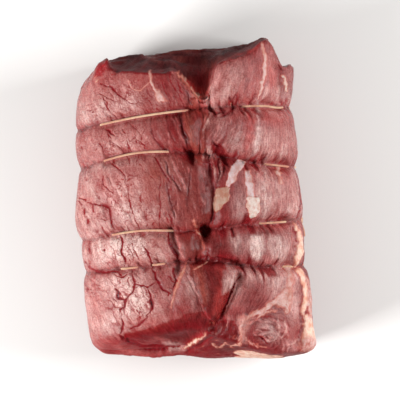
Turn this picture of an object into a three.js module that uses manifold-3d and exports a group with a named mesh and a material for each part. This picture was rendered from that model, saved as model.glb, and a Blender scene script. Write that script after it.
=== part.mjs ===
// A raw beef roasting joint: a slab of muscle rolled round a second muscle and tied with four loops of string.
//
// Millimetres. +Z is up, +X across the roll, +Y along it, towards the end with the V-shaped opening.
// The origin is on the surface that the joint rests on, under the middle of its box.
//
// The meat starts as a box mesh. Each of its points is moved to a rounded block, then to the joint's outlines,
// and then in or out along the surface by the creases, seams and hollows that the tying and the butchery left.
// Rows of the mesh follow the four string lines, so that every crease has a sharp floor for its string.

import * as THREE from "three";
import { mergeVertices } from "three/addons/utils/BufferGeometryUtils.js";
import Module from "manifold-3d";

// ---- Driving dimensions ------------------------------------------------------------------------------------------

const HEIGHT = 84; // crest of the roll above the surface it rests on
const WAIST = 38; // height of the widest line of the cross-section
const SAG = 7; // how far the round underside is pressed flat by its own weight
const STRING_RADIUS = 0.8; // butcher's cotton string, 1.6 mm thick
const GAP = 0.3; // clearance between string and meat

// Roundness of the block: 2 is an ellipse, large is a sharp box.
const ROUNDNESS = 2.6;
const FAR_END_POWER = 22; // the far end is a clean cut
const NEAR_END_POWER = 16; // the near end is folded under, so rounder

// Mesh rows in each bay between the near end, the four strings and the far end, and columns across and up.
const BAY_ROWS = [10, 7, 10, 7, 10];
const COLUMNS_ACROSS = 40;
const COLUMNS_UP = 10;

// Plan outline. Sides give [y, x] of the bulges' crests, ends give [x, y].
const LEFT_SIDE = [
  [-100, -55], [-92, -61.5], [-81, -65.5], [-62, -67.5], [-33, -69.5], [-3, -74], [30, -73.5], [58, -74], [74, -71.5], [92, -65],
];
const RIGHT_SIDE = [
  [-100, 72], [-93, 79.5], [-86, 78], [-66, 73.5], [-28, 67.5], [0, 65], [33, 62.5], [61, 60.5], [77, 63.5], [92, 61],
];
const FAR_FOOT = [
  [-76, 60], [-69, 71], [-62, 78.5], [-54, 83.5], [-45, 87], [-28, 91], [0, 94.5], [30, 95], [41, 97.5], [47, 92.5], [53, 87],
  [61, 83], [66, 78],
];
const FAR_RIM = [
  [-76, 58], [-69, 68], [-62, 75], [-54, 79.5], [-46, 77], [-20, 76], [-14, 76.5], [-7, 70.5], [1, 64], [5, 63.5],
  [9, 69], [13, 79], [24, 84.5], [34, 89.5], [41, 95], [47, 90], [53, 84.5], [61, 80], [66, 76],
];
const NEAR_FOOT = [[-76, -88], [-62, -94], [-55, -97], [-22, -97.5], [-9, -95.5], [10, -98], [47, -98.8], [66, -97.4], [80, -93]];
const NEAR_RIM = [[-76, -82], [-50, -86], [-28, -83], [0, -80], [12, -85], [40, -91], [60, -93], [80, -90]];

// How the roll's crest falls off towards its ends, as [y, height].
const CREST = [[-98, 70], [-84, 76], [-60, 81], [-20, 83], [20, HEIGHT], [60, 83], [80, 81], [98, 77]];

// The four string loops, from the near end, as y on the top at five places across.
const LOOP_X = [-72, -35, 0, 32, 62];
const LOOPS = [
  { name: "string_1", top: [-45.5, -41.3, -37.5, -40.5, -41], knotHeight: 20 },
  { name: "string_2", top: [-26.7, -19.6, -19.5, -15.8, -13.5], knotHeight: 31 },
  { name: "string_3", top: [18, 27.2, 27, 22, 19.5], knotHeight: 20 },
  { name: "string_4", top: [41.7, 48.8, 53.5, 55.5, 56.5], knotHeight: 20 },
];
const CREASE_FLOOR = 1.9; // half-width of the crease's level floor, on which the string lies
const CREASE_REACH = 10; // how far from a string the meat bulges up to its full height
const CREASE_DEPTH = { left: 3.2, right: 5.4, flank: 2.8, base: 3.5 };

// Seams and hollows of the upper side: lines on the plan, with their depth and half-width.
const FURROWS = [
  { name: "middle seam, far part", line: [[5, 61], [7.6, 53], [4.6, 44], [2.8, 35], [3.4, 26]], depth: 3.2, width: 4.5 },
  { name: "middle seam, near part", line: [[7, 17], [10, 2], [10.6, -10], [5.8, -20.7]], depth: 3.4, width: 4 },
  { name: "gap below the middle seam", line: [[5.8, -20.7], [1.6, -26], [3, -31], [1, -36.5]], depth: 3.5, width: 3.5 },
  { name: "edge of the middle strip", line: [[-15, -19.5], [-11.6, -27], [-9.2, -34], [-10.4, -41.7]], depth: 3.5, width: 3 },
  { name: "edge of the near strip", line: [[-10.4, -41.7], [-11.6, -52], [-15.2, -65]], depth: 1.6, width: 3 },
  { name: "cleft beside the near flap", line: [[25.6, -48], [22.6, -56], [18.4, -65.5], [14, -73], [10, -78]], depth: 4.5, width: 3.5 },
  { name: "fold of the second lobe", line: [[49.5, 78], [51, 70], [53.5, 62]], depth: 2.5, width: 3.5 },
  { name: "slit above the fat edge", line: [[58, -15], [61.5, -24], [60.5, -32], [57, -38.5]], depth: 3, width: 3 },
  { name: "near slit above the fat edge", line: [[65, -66], [66, -80], [63, -89]], depth: 3, width: 3 },
];
const HOLLOWS = [
  { name: "pit under the middle strip", at: [6, -21], depth: 5, radius: 4.5 },
  { name: "pit under the second string", at: [-3, 25.5], depth: 4.5, radius: 3.5 },
  { name: "pit right of the middle", at: [16, 25.5], depth: 4, radius: 5 },
  { name: "pit at the far string", at: [-2.5, 53.5], depth: 3, radius: 3 },
];
const SECOND_LOBE = { from: 46, to: 54, drop: 6 };
const FLAP = { tip: [10, -72], root: [9, -40], halfWidth: 10, rise: 2.2 };

// Far end: the second muscle is set back inside the slab that is rolled round it.
const INNER_MUSCLE = { share: 0.7, setBack: 3 };
// Near end: the slab's edge hangs over the layer below it.
const LEDGE = { height: 43, from: -56, to: -4, depth: 4.5, width: 5 };

// ---- Small helpers -----------------------------------------------------------------------------------------------

const clamp = THREE.MathUtils.clamp;
const lerp = THREE.MathUtils.lerp;
const smoothstep = (low, high, t) => THREE.MathUtils.smoothstep(t, low, high);
const bell = (distance, width) => Math.exp(-((distance / width) ** 2));

// A smooth curve through [at, value] stations, level beyond its ends.
function through(stations) {
  const slopeAt = (i) => {
    const a = stations[Math.max(i - 1, 0)];
    const b = stations[Math.min(i + 1, stations.length - 1)];
    return (b[1] - a[1]) / (b[0] - a[0]);
  };
  return (at) => {
    const t = clamp(at, stations[0][0], stations.at(-1)[0]);
    const i = Math.max(1, stations.findIndex((s) => s[0] >= t));
    const [[t0, v0], [t1, v1]] = [stations[i - 1], stations[i]];
    const span = t1 - t0;
    const u = (t - t0) / span;
    const [m0, m1] = [slopeAt(i - 1) * span, slopeAt(i) * span];
    return v0 * (1 + 2 * u) * (1 - u) ** 2 + m0 * u * (1 - u) ** 2 + v1 * u * u * (3 - 2 * u) + m1 * u * u * (u - 1);
  };
}

// Distance on the plan from (x, y) to a line of points.
function distanceToLine(x, y, line) {
  let least = Infinity;
  for (let i = 1; i < line.length; i++) {
    const [[x0, y0], [x1, y1]] = [line[i - 1], line[i]];
    const [dx, dy] = [x1 - x0, y1 - y0];
    const t = clamp(((x - x0) * dx + (y - y0) * dy) / (dx * dx + dy * dy), 0, 1);
    least = Math.min(least, Math.hypot(x - x0 - t * dx, y - y0 - t * dy));
  }
  return least;
}

// ---- The joint's outlines ----------------------------------------------------------------------------------------

const leftSide = through(LEFT_SIDE);
const rightSide = through(RIGHT_SIDE);
const farFoot = through(FAR_FOOT);
const farRim = through(FAR_RIM);
const nearFoot = through(NEAR_FOOT);
const nearRim = through(NEAR_RIM);
const crest = through(CREST);
const loopTops = LOOPS.map((loop) => through(LOOP_X.map((x, i) => [x, loop.top[i]])));

// Ends as y at (x, z): each leans outwards from its rim down to its foot.
function farEnd(x, z) {
  return lerp(farFoot(x), farRim(x), smoothstep(HEIGHT - 34, HEIGHT - 6, z));
}

function nearEnd(x, z) {
  return lerp(nearFoot(x), nearRim(x), smoothstep(WAIST - 10, HEIGHT - 4, z));
}

// The line that string i follows round the joint, as y at (x, z). Below the waist it runs straight across.
function loopLine(i, x, z) {
  const { top } = LOOPS[i];
  const across = (x - LOOP_X[0]) / (LOOP_X.at(-1) - LOOP_X[0]);
  const straight = lerp(top[0], top.at(-1), clamp(across, 0, 1));
  return lerp(straight, loopTops[i](x), smoothstep(WAIST - 6, HEIGHT - 14, z));
}

// Mesh rows: share of the length (-1 to 1) at the ends and at each string.
const ROW_TOTAL = BAY_ROWS.reduce((sum, rows) => sum + rows, 0);
const BAY_START = BAY_ROWS.map((_, bay) => BAY_ROWS.slice(0, bay).reduce((sum, rows) => sum + rows, 0));

// y at a share of the length. The rows next to a string bound its crease's floor, and the others spread between.
function yAlong(share, x, z) {
  const row = ((share + 1) / 2) * ROW_TOTAL;
  let bay = BAY_ROWS.length - 1;
  while (bay > 0 && BAY_START[bay] > row) bay--;
  const rows = BAY_ROWS[bay];
  const at = clamp(row - BAY_START[bay], 0, rows);
  const from = bay === 0 ? nearEnd(x, z) : loopLine(bay - 1, x, z);
  const to = bay === BAY_ROWS.length - 1 ? farEnd(x, z) : loopLine(bay, x, z);
  if (at <= 1) return from + CREASE_FLOOR * at;
  if (at >= rows - 1) return to - CREASE_FLOOR * (rows - at);
  const u = (at - 1) / (rows - 2);
  const eased = (1 - Math.cos(Math.PI * u)) / 2;
  return lerp(from + CREASE_FLOOR, to - CREASE_FLOOR, lerp(u, eased, 0.5));
}

// A point of the unit box, rounded to a block with a soft cross-section and squarer ends.
function roundedBlock({ x, y, z }) {
  const fromAxis = Math.max(Math.abs(x), Math.abs(z));
  const soften = fromAxis / Math.max((Math.abs(x) ** ROUNDNESS + Math.abs(z) ** ROUNDNESS) ** (1 / ROUNDNESS), 1e-9);
  const power = y > 0 ? FAR_END_POWER : NEAR_END_POWER;
  const shrink = (fromAxis ** power + Math.abs(y) ** power) ** (-1 / power);
  return new THREE.Vector3(x * soften * shrink, y * shrink, z * soften * shrink);
}

// How much lower the second lobe, at the right of the far bay, lies than the lobe beside it.
function secondLobeDrop(x, y) {
  return SECOND_LOBE.drop * smoothstep(SECOND_LOBE.from, SECOND_LOBE.to, x) * smoothstep(54, 66, y);
}

// A point of the unit box, put on the joint's smooth outline.
function onOutline(box) {
  const p = roundedBlock(box);
  const roughY = yAlong(p.y, 0, HEIGHT);
  const x = lerp(leftSide(roughY), rightSide(roughY), (p.x + 1) / 2);
  const z = WAIST + p.z * (p.z > 0 ? crest(roughY) - WAIST : WAIST + SAG);
  const y = yAlong(p.y, x, z);
  return new THREE.Vector3(x, y, z - secondLobeDrop(x, y) * smoothstep(WAIST, HEIGHT - 10, z));
}

// ---- Relief: how far the surface lies out from the smooth outline at a point ----------------------------------------

// 1 on a string's floor, falling to 0 where the meat has bulged up to its full height.
function creaseShare(distance) {
  const u = 1 - clamp((distance - CREASE_FLOOR) / CREASE_REACH, 0, 1);
  return 1 - Math.sqrt(1 - u * u);
}

function creaseDepth(x, z) {
  const onTop = lerp(CREASE_DEPTH.left, CREASE_DEPTH.right, smoothstep(-45, 5, x));
  const upper = lerp(CREASE_DEPTH.flank, onTop, smoothstep(WAIST + 5, WAIST + 30, z));
  return lerp(CREASE_DEPTH.base, upper, smoothstep(4, 24, z));
}

function stringRelief(p) {
  const nearest = Math.min(...LOOPS.map((_, i) => Math.abs(p.y - loopLine(i, p.x, p.z))));
  return -creaseDepth(p.x, p.z) * creaseShare(nearest);
}

function topRelief(p) {
  let relief = 0;
  for (const { line, depth, width } of FURROWS) relief -= depth * bell(distanceToLine(p.x, p.y, line), width);
  for (const { at, depth, radius } of HOLLOWS) relief -= depth * bell(Math.hypot(p.x - at[0], p.y - at[1]), radius);
  const down = clamp((p.y - FLAP.tip[1]) / (FLAP.root[1] - FLAP.tip[1]), 0, 1);
  const halfWidth = FLAP.halfWidth * Math.sqrt(down) + 0.01;
  const fromAxis = Math.abs(p.x - lerp(FLAP.tip[0], FLAP.root[0], down));
  if (p.y > FLAP.tip[1] && p.y < FLAP.root[1]) relief += FLAP.rise * (1 - smoothstep(halfWidth - 2, halfWidth + 1, fromAxis));
  return relief;
}

function endRelief(p, box) {
  if (box.y > 0.999) {
    const ring = Math.hypot(box.x, (p.z - WAIST) / WAIST);
    return -INNER_MUSCLE.setBack * (1 - smoothstep(INNER_MUSCLE.share - 0.12, INNER_MUSCLE.share + 0.06, ring));
  }
  const along = smoothstep(LEDGE.from - 6, LEDGE.from + 6, p.x) * (1 - smoothstep(LEDGE.to - 6, LEDGE.to + 6, p.x));
  return box.y < -0.7 ? -LEDGE.depth * along * bell(p.z - LEDGE.height, LEDGE.width) : 0;
}

// Slow waves, so that no bulge is like the next.
function unevenness(p) {
  return 0.7 * Math.sin(p.x / 9 + p.y / 31) * Math.cos(p.y / 17 - 0.6) + 0.5 * Math.sin(p.x / 21 - p.y / 7.5 + p.z / 13);
}

function relief(p, box, normal) {
  const upper = smoothstep(WAIST + 4, WAIST + 24, p.z) * smoothstep(0.1, 0.6, normal.z);
  return stringRelief(p) + upper * topRelief(p) + endRelief(p, box) + unevenness(p);
}

// ---- The meat ----------------------------------------------------------------------------------------------------

const wasm = await Module();
wasm.setup();

function toSolid(geometry) {
  const bare = geometry.clone().deleteAttribute("normal").deleteAttribute("uv");
  const merged = mergeVertices(bare, 1e-3);
  return new wasm.Manifold(
    new wasm.Mesh({
      numProp: 3,
      vertProperties: new Float32Array(merged.attributes.position.array),
      triVerts: new Uint32Array(merged.index.array),
    }),
  );
}

function toGeometry(solid) {
  const { vertProperties, triVerts } = solid.getMesh();
  return new THREE.BufferGeometry()
    .setAttribute("position", new THREE.BufferAttribute(new Float32Array(vertProperties), 3))
    .setIndex(new THREE.BufferAttribute(new Uint32Array(triVerts), 1));
}

// The largest body of a solid: a cut can leave scraps.
function largest(solid) {
  return solid.decompose().sort((a, b) => b.volume() - a.volume())[0];
}

// The shaped box mesh, with each point's place on the unit box it came from.
function meatSurface() {
  const box = mergeVertices(
    new THREE.BoxGeometry(2, 2, 2, COLUMNS_ACROSS, ROW_TOTAL, COLUMNS_UP).deleteAttribute("normal").deleteAttribute("uv"),
    1e-5,
  );
  const { position } = box.attributes;
  const corners = Array.from({ length: position.count }, (_, i) => new THREE.Vector3().fromBufferAttribute(position, i));
  const points = corners.map(onOutline);
  points.forEach((p, i) => position.setXYZ(i, p.x, p.y, p.z));
  box.computeVertexNormals();
  const normals = points.map((_, i) => new THREE.Vector3().fromBufferAttribute(box.attributes.normal, i));
  points.forEach((p, i) => {
    p.addScaledVector(normals[i], relief(p, corners[i], normals[i]));
    position.setXYZ(i, p.x, p.y, p.z);
  });
  return { geometry: box.deleteAttribute("normal"), corners, points, normals };
}

// ---- The string --------------------------------------------------------------------------------------------------

const LOOP_SIDES = 5;
const LOOP_STEPS = 50;
const RIDE = STRING_RADIUS + GAP + 0.3; // from the crease's floor to the string's middle
const KNOT = { coil: 1.3, sides: 5, steps: 9, room: 2.9 }; // mm: radius of the turn round the string, free room
const TAIL = { radius: 0.7, rows: 3, sides: 2, steps: 7 }; // how many mesh rows a tail reaches each way

// The mesh row of string i, as its share of the length.
const loopShare = (i) => (2 * BAY_START[i + 1]) / ROW_TOTAL - 1;

// The surface's point numbers that lie at a share of the length, in order round the joint from the right.
function pointsRound(surface, share) {
  const turn = (n) => Math.atan2(surface.corners[n].z, surface.corners[n].x);
  return surface.corners
    .map((_, n) => n)
    .filter((n) => Math.abs(surface.corners[n].y - share) < 1e-4)
    .sort((a, b) => turn(a) - turn(b));
}

// The place of a string's middle over one of the surface's points.
function stringOver(surface, n) {
  const p = surface.points[n].clone().addScaledVector(surface.normals[n], RIDE);
  p.z = Math.max(p.z, STRING_RADIUS + 0.05);
  return p;
}

// A closed tube round the joint along string i's line.
function loopSolid(surface, i, radius) {
  const path = pointsRound(surface, loopShare(i)).map((n) => stringOver(surface, n));
  const curve = new THREE.CatmullRomCurve3(path, true);
  return toSolid(new THREE.TubeGeometry(curve, LOOP_STEPS, radius, LOOP_SIDES, true));
}

// The surface's point number under string i's knot, on the right flank.
function knotPoint(surface, i) {
  const { knotHeight } = LOOPS[i];
  const away = (n) => Math.abs(surface.points[n].z - knotHeight);
  const flank = pointsRound(surface, loopShare(i)).filter((n) => surface.corners[n].x > 0.99);
  return flank.reduce((best, n) => (away(n) < away(best) ? n : best));
}

// The string's two ends, which leave the knot and lie over the bulges on both sides of it.
function tailsSolid(surface, i) {
  const from = surface.corners[knotPoint(surface, i)];
  const path = [];
  for (let row = -TAIL.rows; row <= TAIL.rows; row++) {
    const share = from.y + (2 * row) / ROW_TOTAL;
    const near = pointsRound(surface, share).filter((n) => surface.corners[n].x > 0.99);
    const level = near.reduce((best, n) =>
      Math.abs(surface.corners[n].z - from.z) < Math.abs(surface.corners[best].z - from.z) ? n : best);
    path.push(stringOver(surface, level));
  }
  const section = new THREE.Shape().absarc(0, 0, TAIL.radius, 0, 2 * Math.PI, false);
  const extrudePath = new THREE.CatmullRomCurve3(path);
  return toSolid(new THREE.ExtrudeGeometry(section, { extrudePath, steps: TAIL.steps, curveSegments: TAIL.sides }));
}

function stringSolid(surface, i) {
  const coil = new THREE.TorusGeometry(KNOT.coil, STRING_RADIUS, KNOT.sides, KNOT.steps).rotateX(Math.PI / 2);
  coil.translate(...stringOver(surface, knotPoint(surface, i)).toArray());
  return largest(loopSolid(surface, i, STRING_RADIUS).add(toSolid(coil)).add(tailsSolid(surface, i)));
}

// What string i needs free of meat: a channel, mostly in the flat base, and room for its knot.
function stringRoom(surface, i) {
  const knot = new THREE.IcosahedronGeometry(KNOT.room, 1);
  knot.translate(...stringOver(surface, knotPoint(surface, i)).toArray());
  return loopSolid(surface, i, STRING_RADIUS + GAP).add(toSolid(knot));
}

// ---- Assembly ----------------------------------------------------------------------------------------------------

function mesh(name, solid, material) {
  const made = new THREE.Mesh(toGeometry(solid), material);
  made.name = name;
  return made;
}

const meatFinish = new THREE.MeshStandardMaterial({ color: 0xa3524e, roughness: 0.42, metalness: 0 });
const stringFinish = new THREE.MeshStandardMaterial({ color: 0xe6c3a0, roughness: 0.9, metalness: 0 });

const surface = meatSurface();
const below = toSolid(new THREE.BoxGeometry(400, 400, 60).translate(0, 0, -30));
let meat = toSolid(surface.geometry).subtract(below);
LOOPS.forEach((_, i) => {
  meat = meat.subtract(stringRoom(surface, i));
});

const joint = new THREE.Group();
joint.add(mesh("beef_joint", largest(meat), meatFinish));
LOOPS.forEach(({ name }, i) => joint.add(mesh(name, stringSolid(surface, i), stringFinish)));

export default joint;
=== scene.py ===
"""Looks of a raw beef roasting joint, rolled from two muscles and tied with four cotton strings.

Lengths are millimetres, +Z up, +X across the roll and +Y along it, and become metres in the meshes.
Marks on the upper side are drawn on a plan, a square of 400 by 400 steps that the camera sees from above,
counted from its top left corner.
"""

from __future__ import annotations

import itertools
import logging
import math
from dataclasses import dataclass, field
from enum import Enum

import bmesh
import bpy
import numpy as np
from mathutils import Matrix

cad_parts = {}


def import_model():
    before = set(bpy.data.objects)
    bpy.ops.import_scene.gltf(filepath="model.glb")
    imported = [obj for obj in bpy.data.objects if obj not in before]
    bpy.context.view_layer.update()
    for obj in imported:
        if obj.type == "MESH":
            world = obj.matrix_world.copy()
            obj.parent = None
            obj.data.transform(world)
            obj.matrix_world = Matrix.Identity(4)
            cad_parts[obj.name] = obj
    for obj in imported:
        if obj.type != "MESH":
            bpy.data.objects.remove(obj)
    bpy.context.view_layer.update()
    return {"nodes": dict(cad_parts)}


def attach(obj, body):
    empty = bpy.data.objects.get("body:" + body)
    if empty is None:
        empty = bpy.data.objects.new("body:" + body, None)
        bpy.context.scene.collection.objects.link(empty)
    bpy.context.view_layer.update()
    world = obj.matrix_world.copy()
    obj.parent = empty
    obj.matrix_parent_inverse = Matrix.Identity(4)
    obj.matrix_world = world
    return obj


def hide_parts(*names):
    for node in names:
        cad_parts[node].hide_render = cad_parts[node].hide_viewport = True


MM = 0.001  # metres in a millimetre
LOG = logging.getLogger("beef_joint")

Array = np.ndarray
Point = tuple[float, float]
Triple = tuple[float, float, float]
Route = str | Array  # the corners of a line: "across,down" pairs, or a row for each


# ---- Numbers ----


def smoothstep(low: float, high: float, value: Array) -> Array:
    """Rises smoothly from 0 at low to 1 at high.

    Args:
        low: Where the rise starts.
        high: Where it ends.
        value: The values to look up.

    Returns:
        One share for each value.
    """
    share = np.clip((value - low) / (high - low), 0.0, 1.0)
    return share * share * (3.0 - 2.0 * share)


def mix(first: Array, second: Array, share: Array) -> Array:
    """Blends first into second by a share of 0 to 1."""
    return first + (second - first) * share


def bell(distance: Array, width: float) -> Array:
    """Is 1 at no distance and falls off over about the width."""
    return np.exp(-((distance / width) ** 2))


def soft_spot(places: Array, middle: Point, reach: Point) -> Array:
    """Is 1 at a middle, and falls off over a reach along each axis."""
    return np.exp(-(((places - middle) / reach) ** 2).sum(axis=1))


def noise(points: Array, size: float | Triple, seed: int) -> Array:
    """Smooth random values in space.

    Args:
        points: Places, one row each, in millimetres.
        size: Width of a lump, in millimetres, alike or different along each axis.
        seed: Picks one of many patterns.

    Returns:
        A value from -1 to 1 for each place.
    """
    cell = points / size
    base = np.floor(cell).astype(np.int64)
    part = cell - base
    part = part * part * (3.0 - 2.0 * part)
    total = np.zeros(len(points))
    for corner in itertools.product((0, 1), repeat=3):
        key = base + np.array(corner)
        mixed = (key[:, 0] * 73856093) ^ (key[:, 1] * 19349663) ^ (key[:, 2] * 83492791) ^ (seed * 2654435761)
        mixed = ((mixed ^ (mixed >> 13)) * 1274126177) & 0xFFFFFFFF
        value = ((mixed ^ (mixed >> 16)) & 0xFFFF) / 32767.5 - 1.0
        total += value * np.prod(np.where(corner, part, 1.0 - part), axis=1)
    return total


def shifts(points: Array, size: float, seed: int, axes: int = 2) -> Array:
    """Smooth random moves in space, with a column for each axis and a pattern for each column."""
    return np.stack([noise(points, size, seed + axis) for axis in range(axes)], axis=1)


def cells(plane: Array, size: float, seed: int) -> tuple[Array, Array]:
    """Irregular cells that fill a plane, like the plates of a cracked skin.

    Args:
        plane: Places on the plane, one row each, in millimetres.
        size: Width of a cell, in millimetres.
        seed: Picks one of many patterns.

    Returns:
        For each place, how far inside its cell it lies, in cell widths, and the cell's own value from 0 to 1.
    """
    cell = plane / size
    base = np.floor(cell)
    near = np.full(len(plane), np.inf)
    next_near = np.full(len(plane), np.inf)
    own = np.zeros(len(plane))
    for step in itertools.product((-1, 0, 1), repeat=2):
        square = base + step
        still = np.stack([square[:, 0], square[:, 1], np.zeros(len(plane))], axis=1)
        middle = square + 0.5 + 0.45 * shifts(still, 1.0, seed)
        distance = np.linalg.norm(cell - middle, axis=1)
        nearer = distance < near
        next_near = np.where(nearer, near, np.minimum(next_near, distance))
        own = np.where(nearer, 0.5 + 0.5 * noise(still, 1.0, seed + 2), own)
        near = np.where(nearer, distance, near)
    return next_near - near, own


def linear(colour: tuple[int, int, int]) -> Array:
    """The linear light of a display colour given as three numbers up to 255."""
    value = np.array(colour) / 255.0
    return np.where(value <= 0.04045, value / 12.92, ((value + 0.055) / 1.055) ** 2.4)


def corners(route: Route) -> Array:
    """The corners of a route, one row each."""
    return np.array([pair.split(",") for pair in route.split()] if isinstance(route, str) else route, float)


def to_line(points: Array, start: Array, end: Array) -> tuple[Array, Array]:
    """How points of a plane lie to a straight line.

    Args:
        points: The points, one row each.
        start: Where the line starts.
        end: Where it ends.

    Returns:
        Each point's distance, and its share of the way along.
    """
    way = end - start
    share = np.clip((points - start) @ way / max(way @ way, 1e-9), 0.0, 1.0)
    return np.linalg.norm(points - start - share[:, None] * way, axis=1), share


def through(stations: Route, at: Array) -> Array:
    """A smooth curve through stations, level beyond its ends.

    Args:
        stations: Pairs of place and value, in order of place.
        at: The places to look up.

    Returns:
        The curve's value at each place.
    """
    place, value = corners(stations).T
    slope = np.empty(len(place))
    slope[1:-1] = (value[2:] - value[:-2]) / (place[2:] - place[:-2])
    slope[0] = (value[1] - value[0]) / (place[1] - place[0])
    slope[-1] = (value[-1] - value[-2]) / (place[-1] - place[-2])
    t = np.clip(at, place[0], place[-1])
    i = np.clip(np.searchsorted(place, t), 1, len(place) - 1)
    span = place[i] - place[i - 1]
    u = (t - place[i - 1]) / span
    start = value[i - 1] * (1 + 2 * u) * (1 - u) ** 2 + slope[i - 1] * span * u * (1 - u) ** 2
    return start + value[i] * u * u * (3 - 2 * u) + slope[i] * span * u * u * (u - 1)


# ---- The plan that marks are drawn on ----


@dataclass(frozen=True)
class Plan:
    """The camera's view from above, as a square of steps."""

    steps: int = 400
    step: float = 0.62  # mm, at the joint's waist
    waist: float = 38.0
    distance: float = 1150.0  # from the waist up to the camera
    centre: Point = (2.79, -0.93)

    def seen(self, places: Array) -> Array:
        """Where each place in the joint's frame shows on the plan, in steps from its top left corner."""
        near = self.distance / (self.distance - (places[:, 2] - self.waist)) / self.step
        across = self.steps / 2 + (places[:, 0] - self.centre[0]) * near
        down = self.steps / 2 - (places[:, 1] - self.centre[1]) * near
        return np.stack([across, down], axis=1)


PLAN = Plan()
FACE = 0.999  # of the unit box: points beyond it lie on a face
SAME = 1e-4  # of the unit box: points closer than this lie on one line


# ---- Finishes ----


class Tint(Enum):
    """Colours of raw beef, and of painted shade and sheen, as display colours."""

    MUSCLE = (118, 32, 34)
    RED = (162, 56, 53)
    ROSE = (196, 108, 106)
    PINK = (222, 170, 162)
    # pale dried skin, and the painted sheen on it
    HAZE = (227, 198, 190)
    BROWN = (136, 62, 54)
    UMBER = (112, 44, 40)
    # dark oxidised red, also painted shade in grooves, folds, hollows and along lips
    AGED = (92, 26, 26)
    DRIED = (90, 27, 30)
    # DARK streaks the dried cut face, and is painted shade in grooves, seams and along the strings; BLACK is
    # painted shade in pits and crevices
    DARK = (50, 12, 14)
    BLACK = (20, 5, 6)
    WET = (120, 16, 26)
    BLOOD = (142, 22, 30)
    SCARLET = (186, 48, 46)
    RIM = (194, 100, 86)
    VEIN = (190, 142, 128)
    PALE = (200, 160, 154)
    SILVER = (196, 170, 170)
    FAT = (170, 137, 122)
    CREAM = (226, 190, 172)
    WHITE = (205, 188, 181)

    @property
    def light(self) -> Array:
        """The tint in linear light."""
        return linear(self.value)


(MUSCLE, RED, ROSE, PINK, HAZE, BROWN, UMBER, AGED, DRIED, DARK, BLACK, WET, BLOOD, SCARLET, RIM, VEIN, PALE,
 SILVER, FAT, CREAM, WHITE) = Tint


@dataclass(frozen=True)
class BeefFinish:
    """Moist raw beef: fibres, a skin of dried juice with a painted pale sheen on it, pale membranes and fat.
    """

    name: str = "raw_beef"
    fibre_width: float = 0.6  # mm
    fibre_length: float = 4.5  # mm
    lump: float = 6.0  # mm, size of slow colour changes
    pit: float = 0.8  # mm, between the pits of the skin's surface
    plate: float = 5.5  # mm, size of the plates between fine cracks
    roughness: tuple[float, float] = (0.16, 0.34)
    skin_roughness: float = 0.16  # more where the surface has dried to a skin
    ior: float = 1.26
    streaks: float = 0.9  # how strongly fibres show
    scatter: Triple = (2.4, 0.5, 0.35)  # mm, how far each colour of light travels inside
    bump: float = 0.3  # mm


@dataclass(frozen=True)
class TwineFinish:
    """Cotton string, stained by meat juice in places."""

    name: str = "cotton_twine"
    clean: tuple[int, int, int] = (228, 190, 154)
    stained: tuple[int, int, int] = (204, 122, 98)
    roughness: float = 0.85
    hair: float = 0.25  # mm, width of a fibre bundle


@dataclass(frozen=True)
class FloorFinish:
    """A plain pale matte floor."""

    name: str = "plain_floor"
    colour: tuple[int, int, int] = (236, 234, 232)
    roughness: float = 0.9


@dataclass(frozen=True)
class Signal:
    """A socket of a material, which adds the nodes of the sums it is used in."""

    wiring: Wiring
    socket: bpy.types.NodeSocket

    def __add__(self, other: Value) -> Signal:
        """Adds a number or signal."""
        return self.wiring.math("ADD", self, other)

    def __sub__(self, other: Value) -> Signal:
        """Takes a number or signal away."""
        return self.wiring.math("SUBTRACT", self, other)

    def __rsub__(self, other: float) -> Signal:
        """Takes the signal away from a number."""
        return self.wiring.math("SUBTRACT", other, self)

    def __mul__(self, other: Value) -> Signal:
        """Multiplies by a number or signal."""
        return self.wiring.math("MULTIPLY", self, other)

    def most(self, other: Value) -> Signal:
        """The larger of the two."""
        return self.wiring.math("MAXIMUM", self, other)

    def held(self) -> Signal:
        """The signal kept from 0 to 1."""
        return self.ramp(0.0, 1.0)

    def ramp(self, low: float, high: float, to_low: float = 0.0, to_high: float = 1.0) -> Signal:
        """The signal mapped from one range to another, and kept inside it."""
        inputs = {"Value": self, "From Min": low, "From Max": high, "To Min": to_low, "To Max": to_high}
        return self.wiring.add("MapRange", inputs, "Result")


Value = float | Signal


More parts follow.
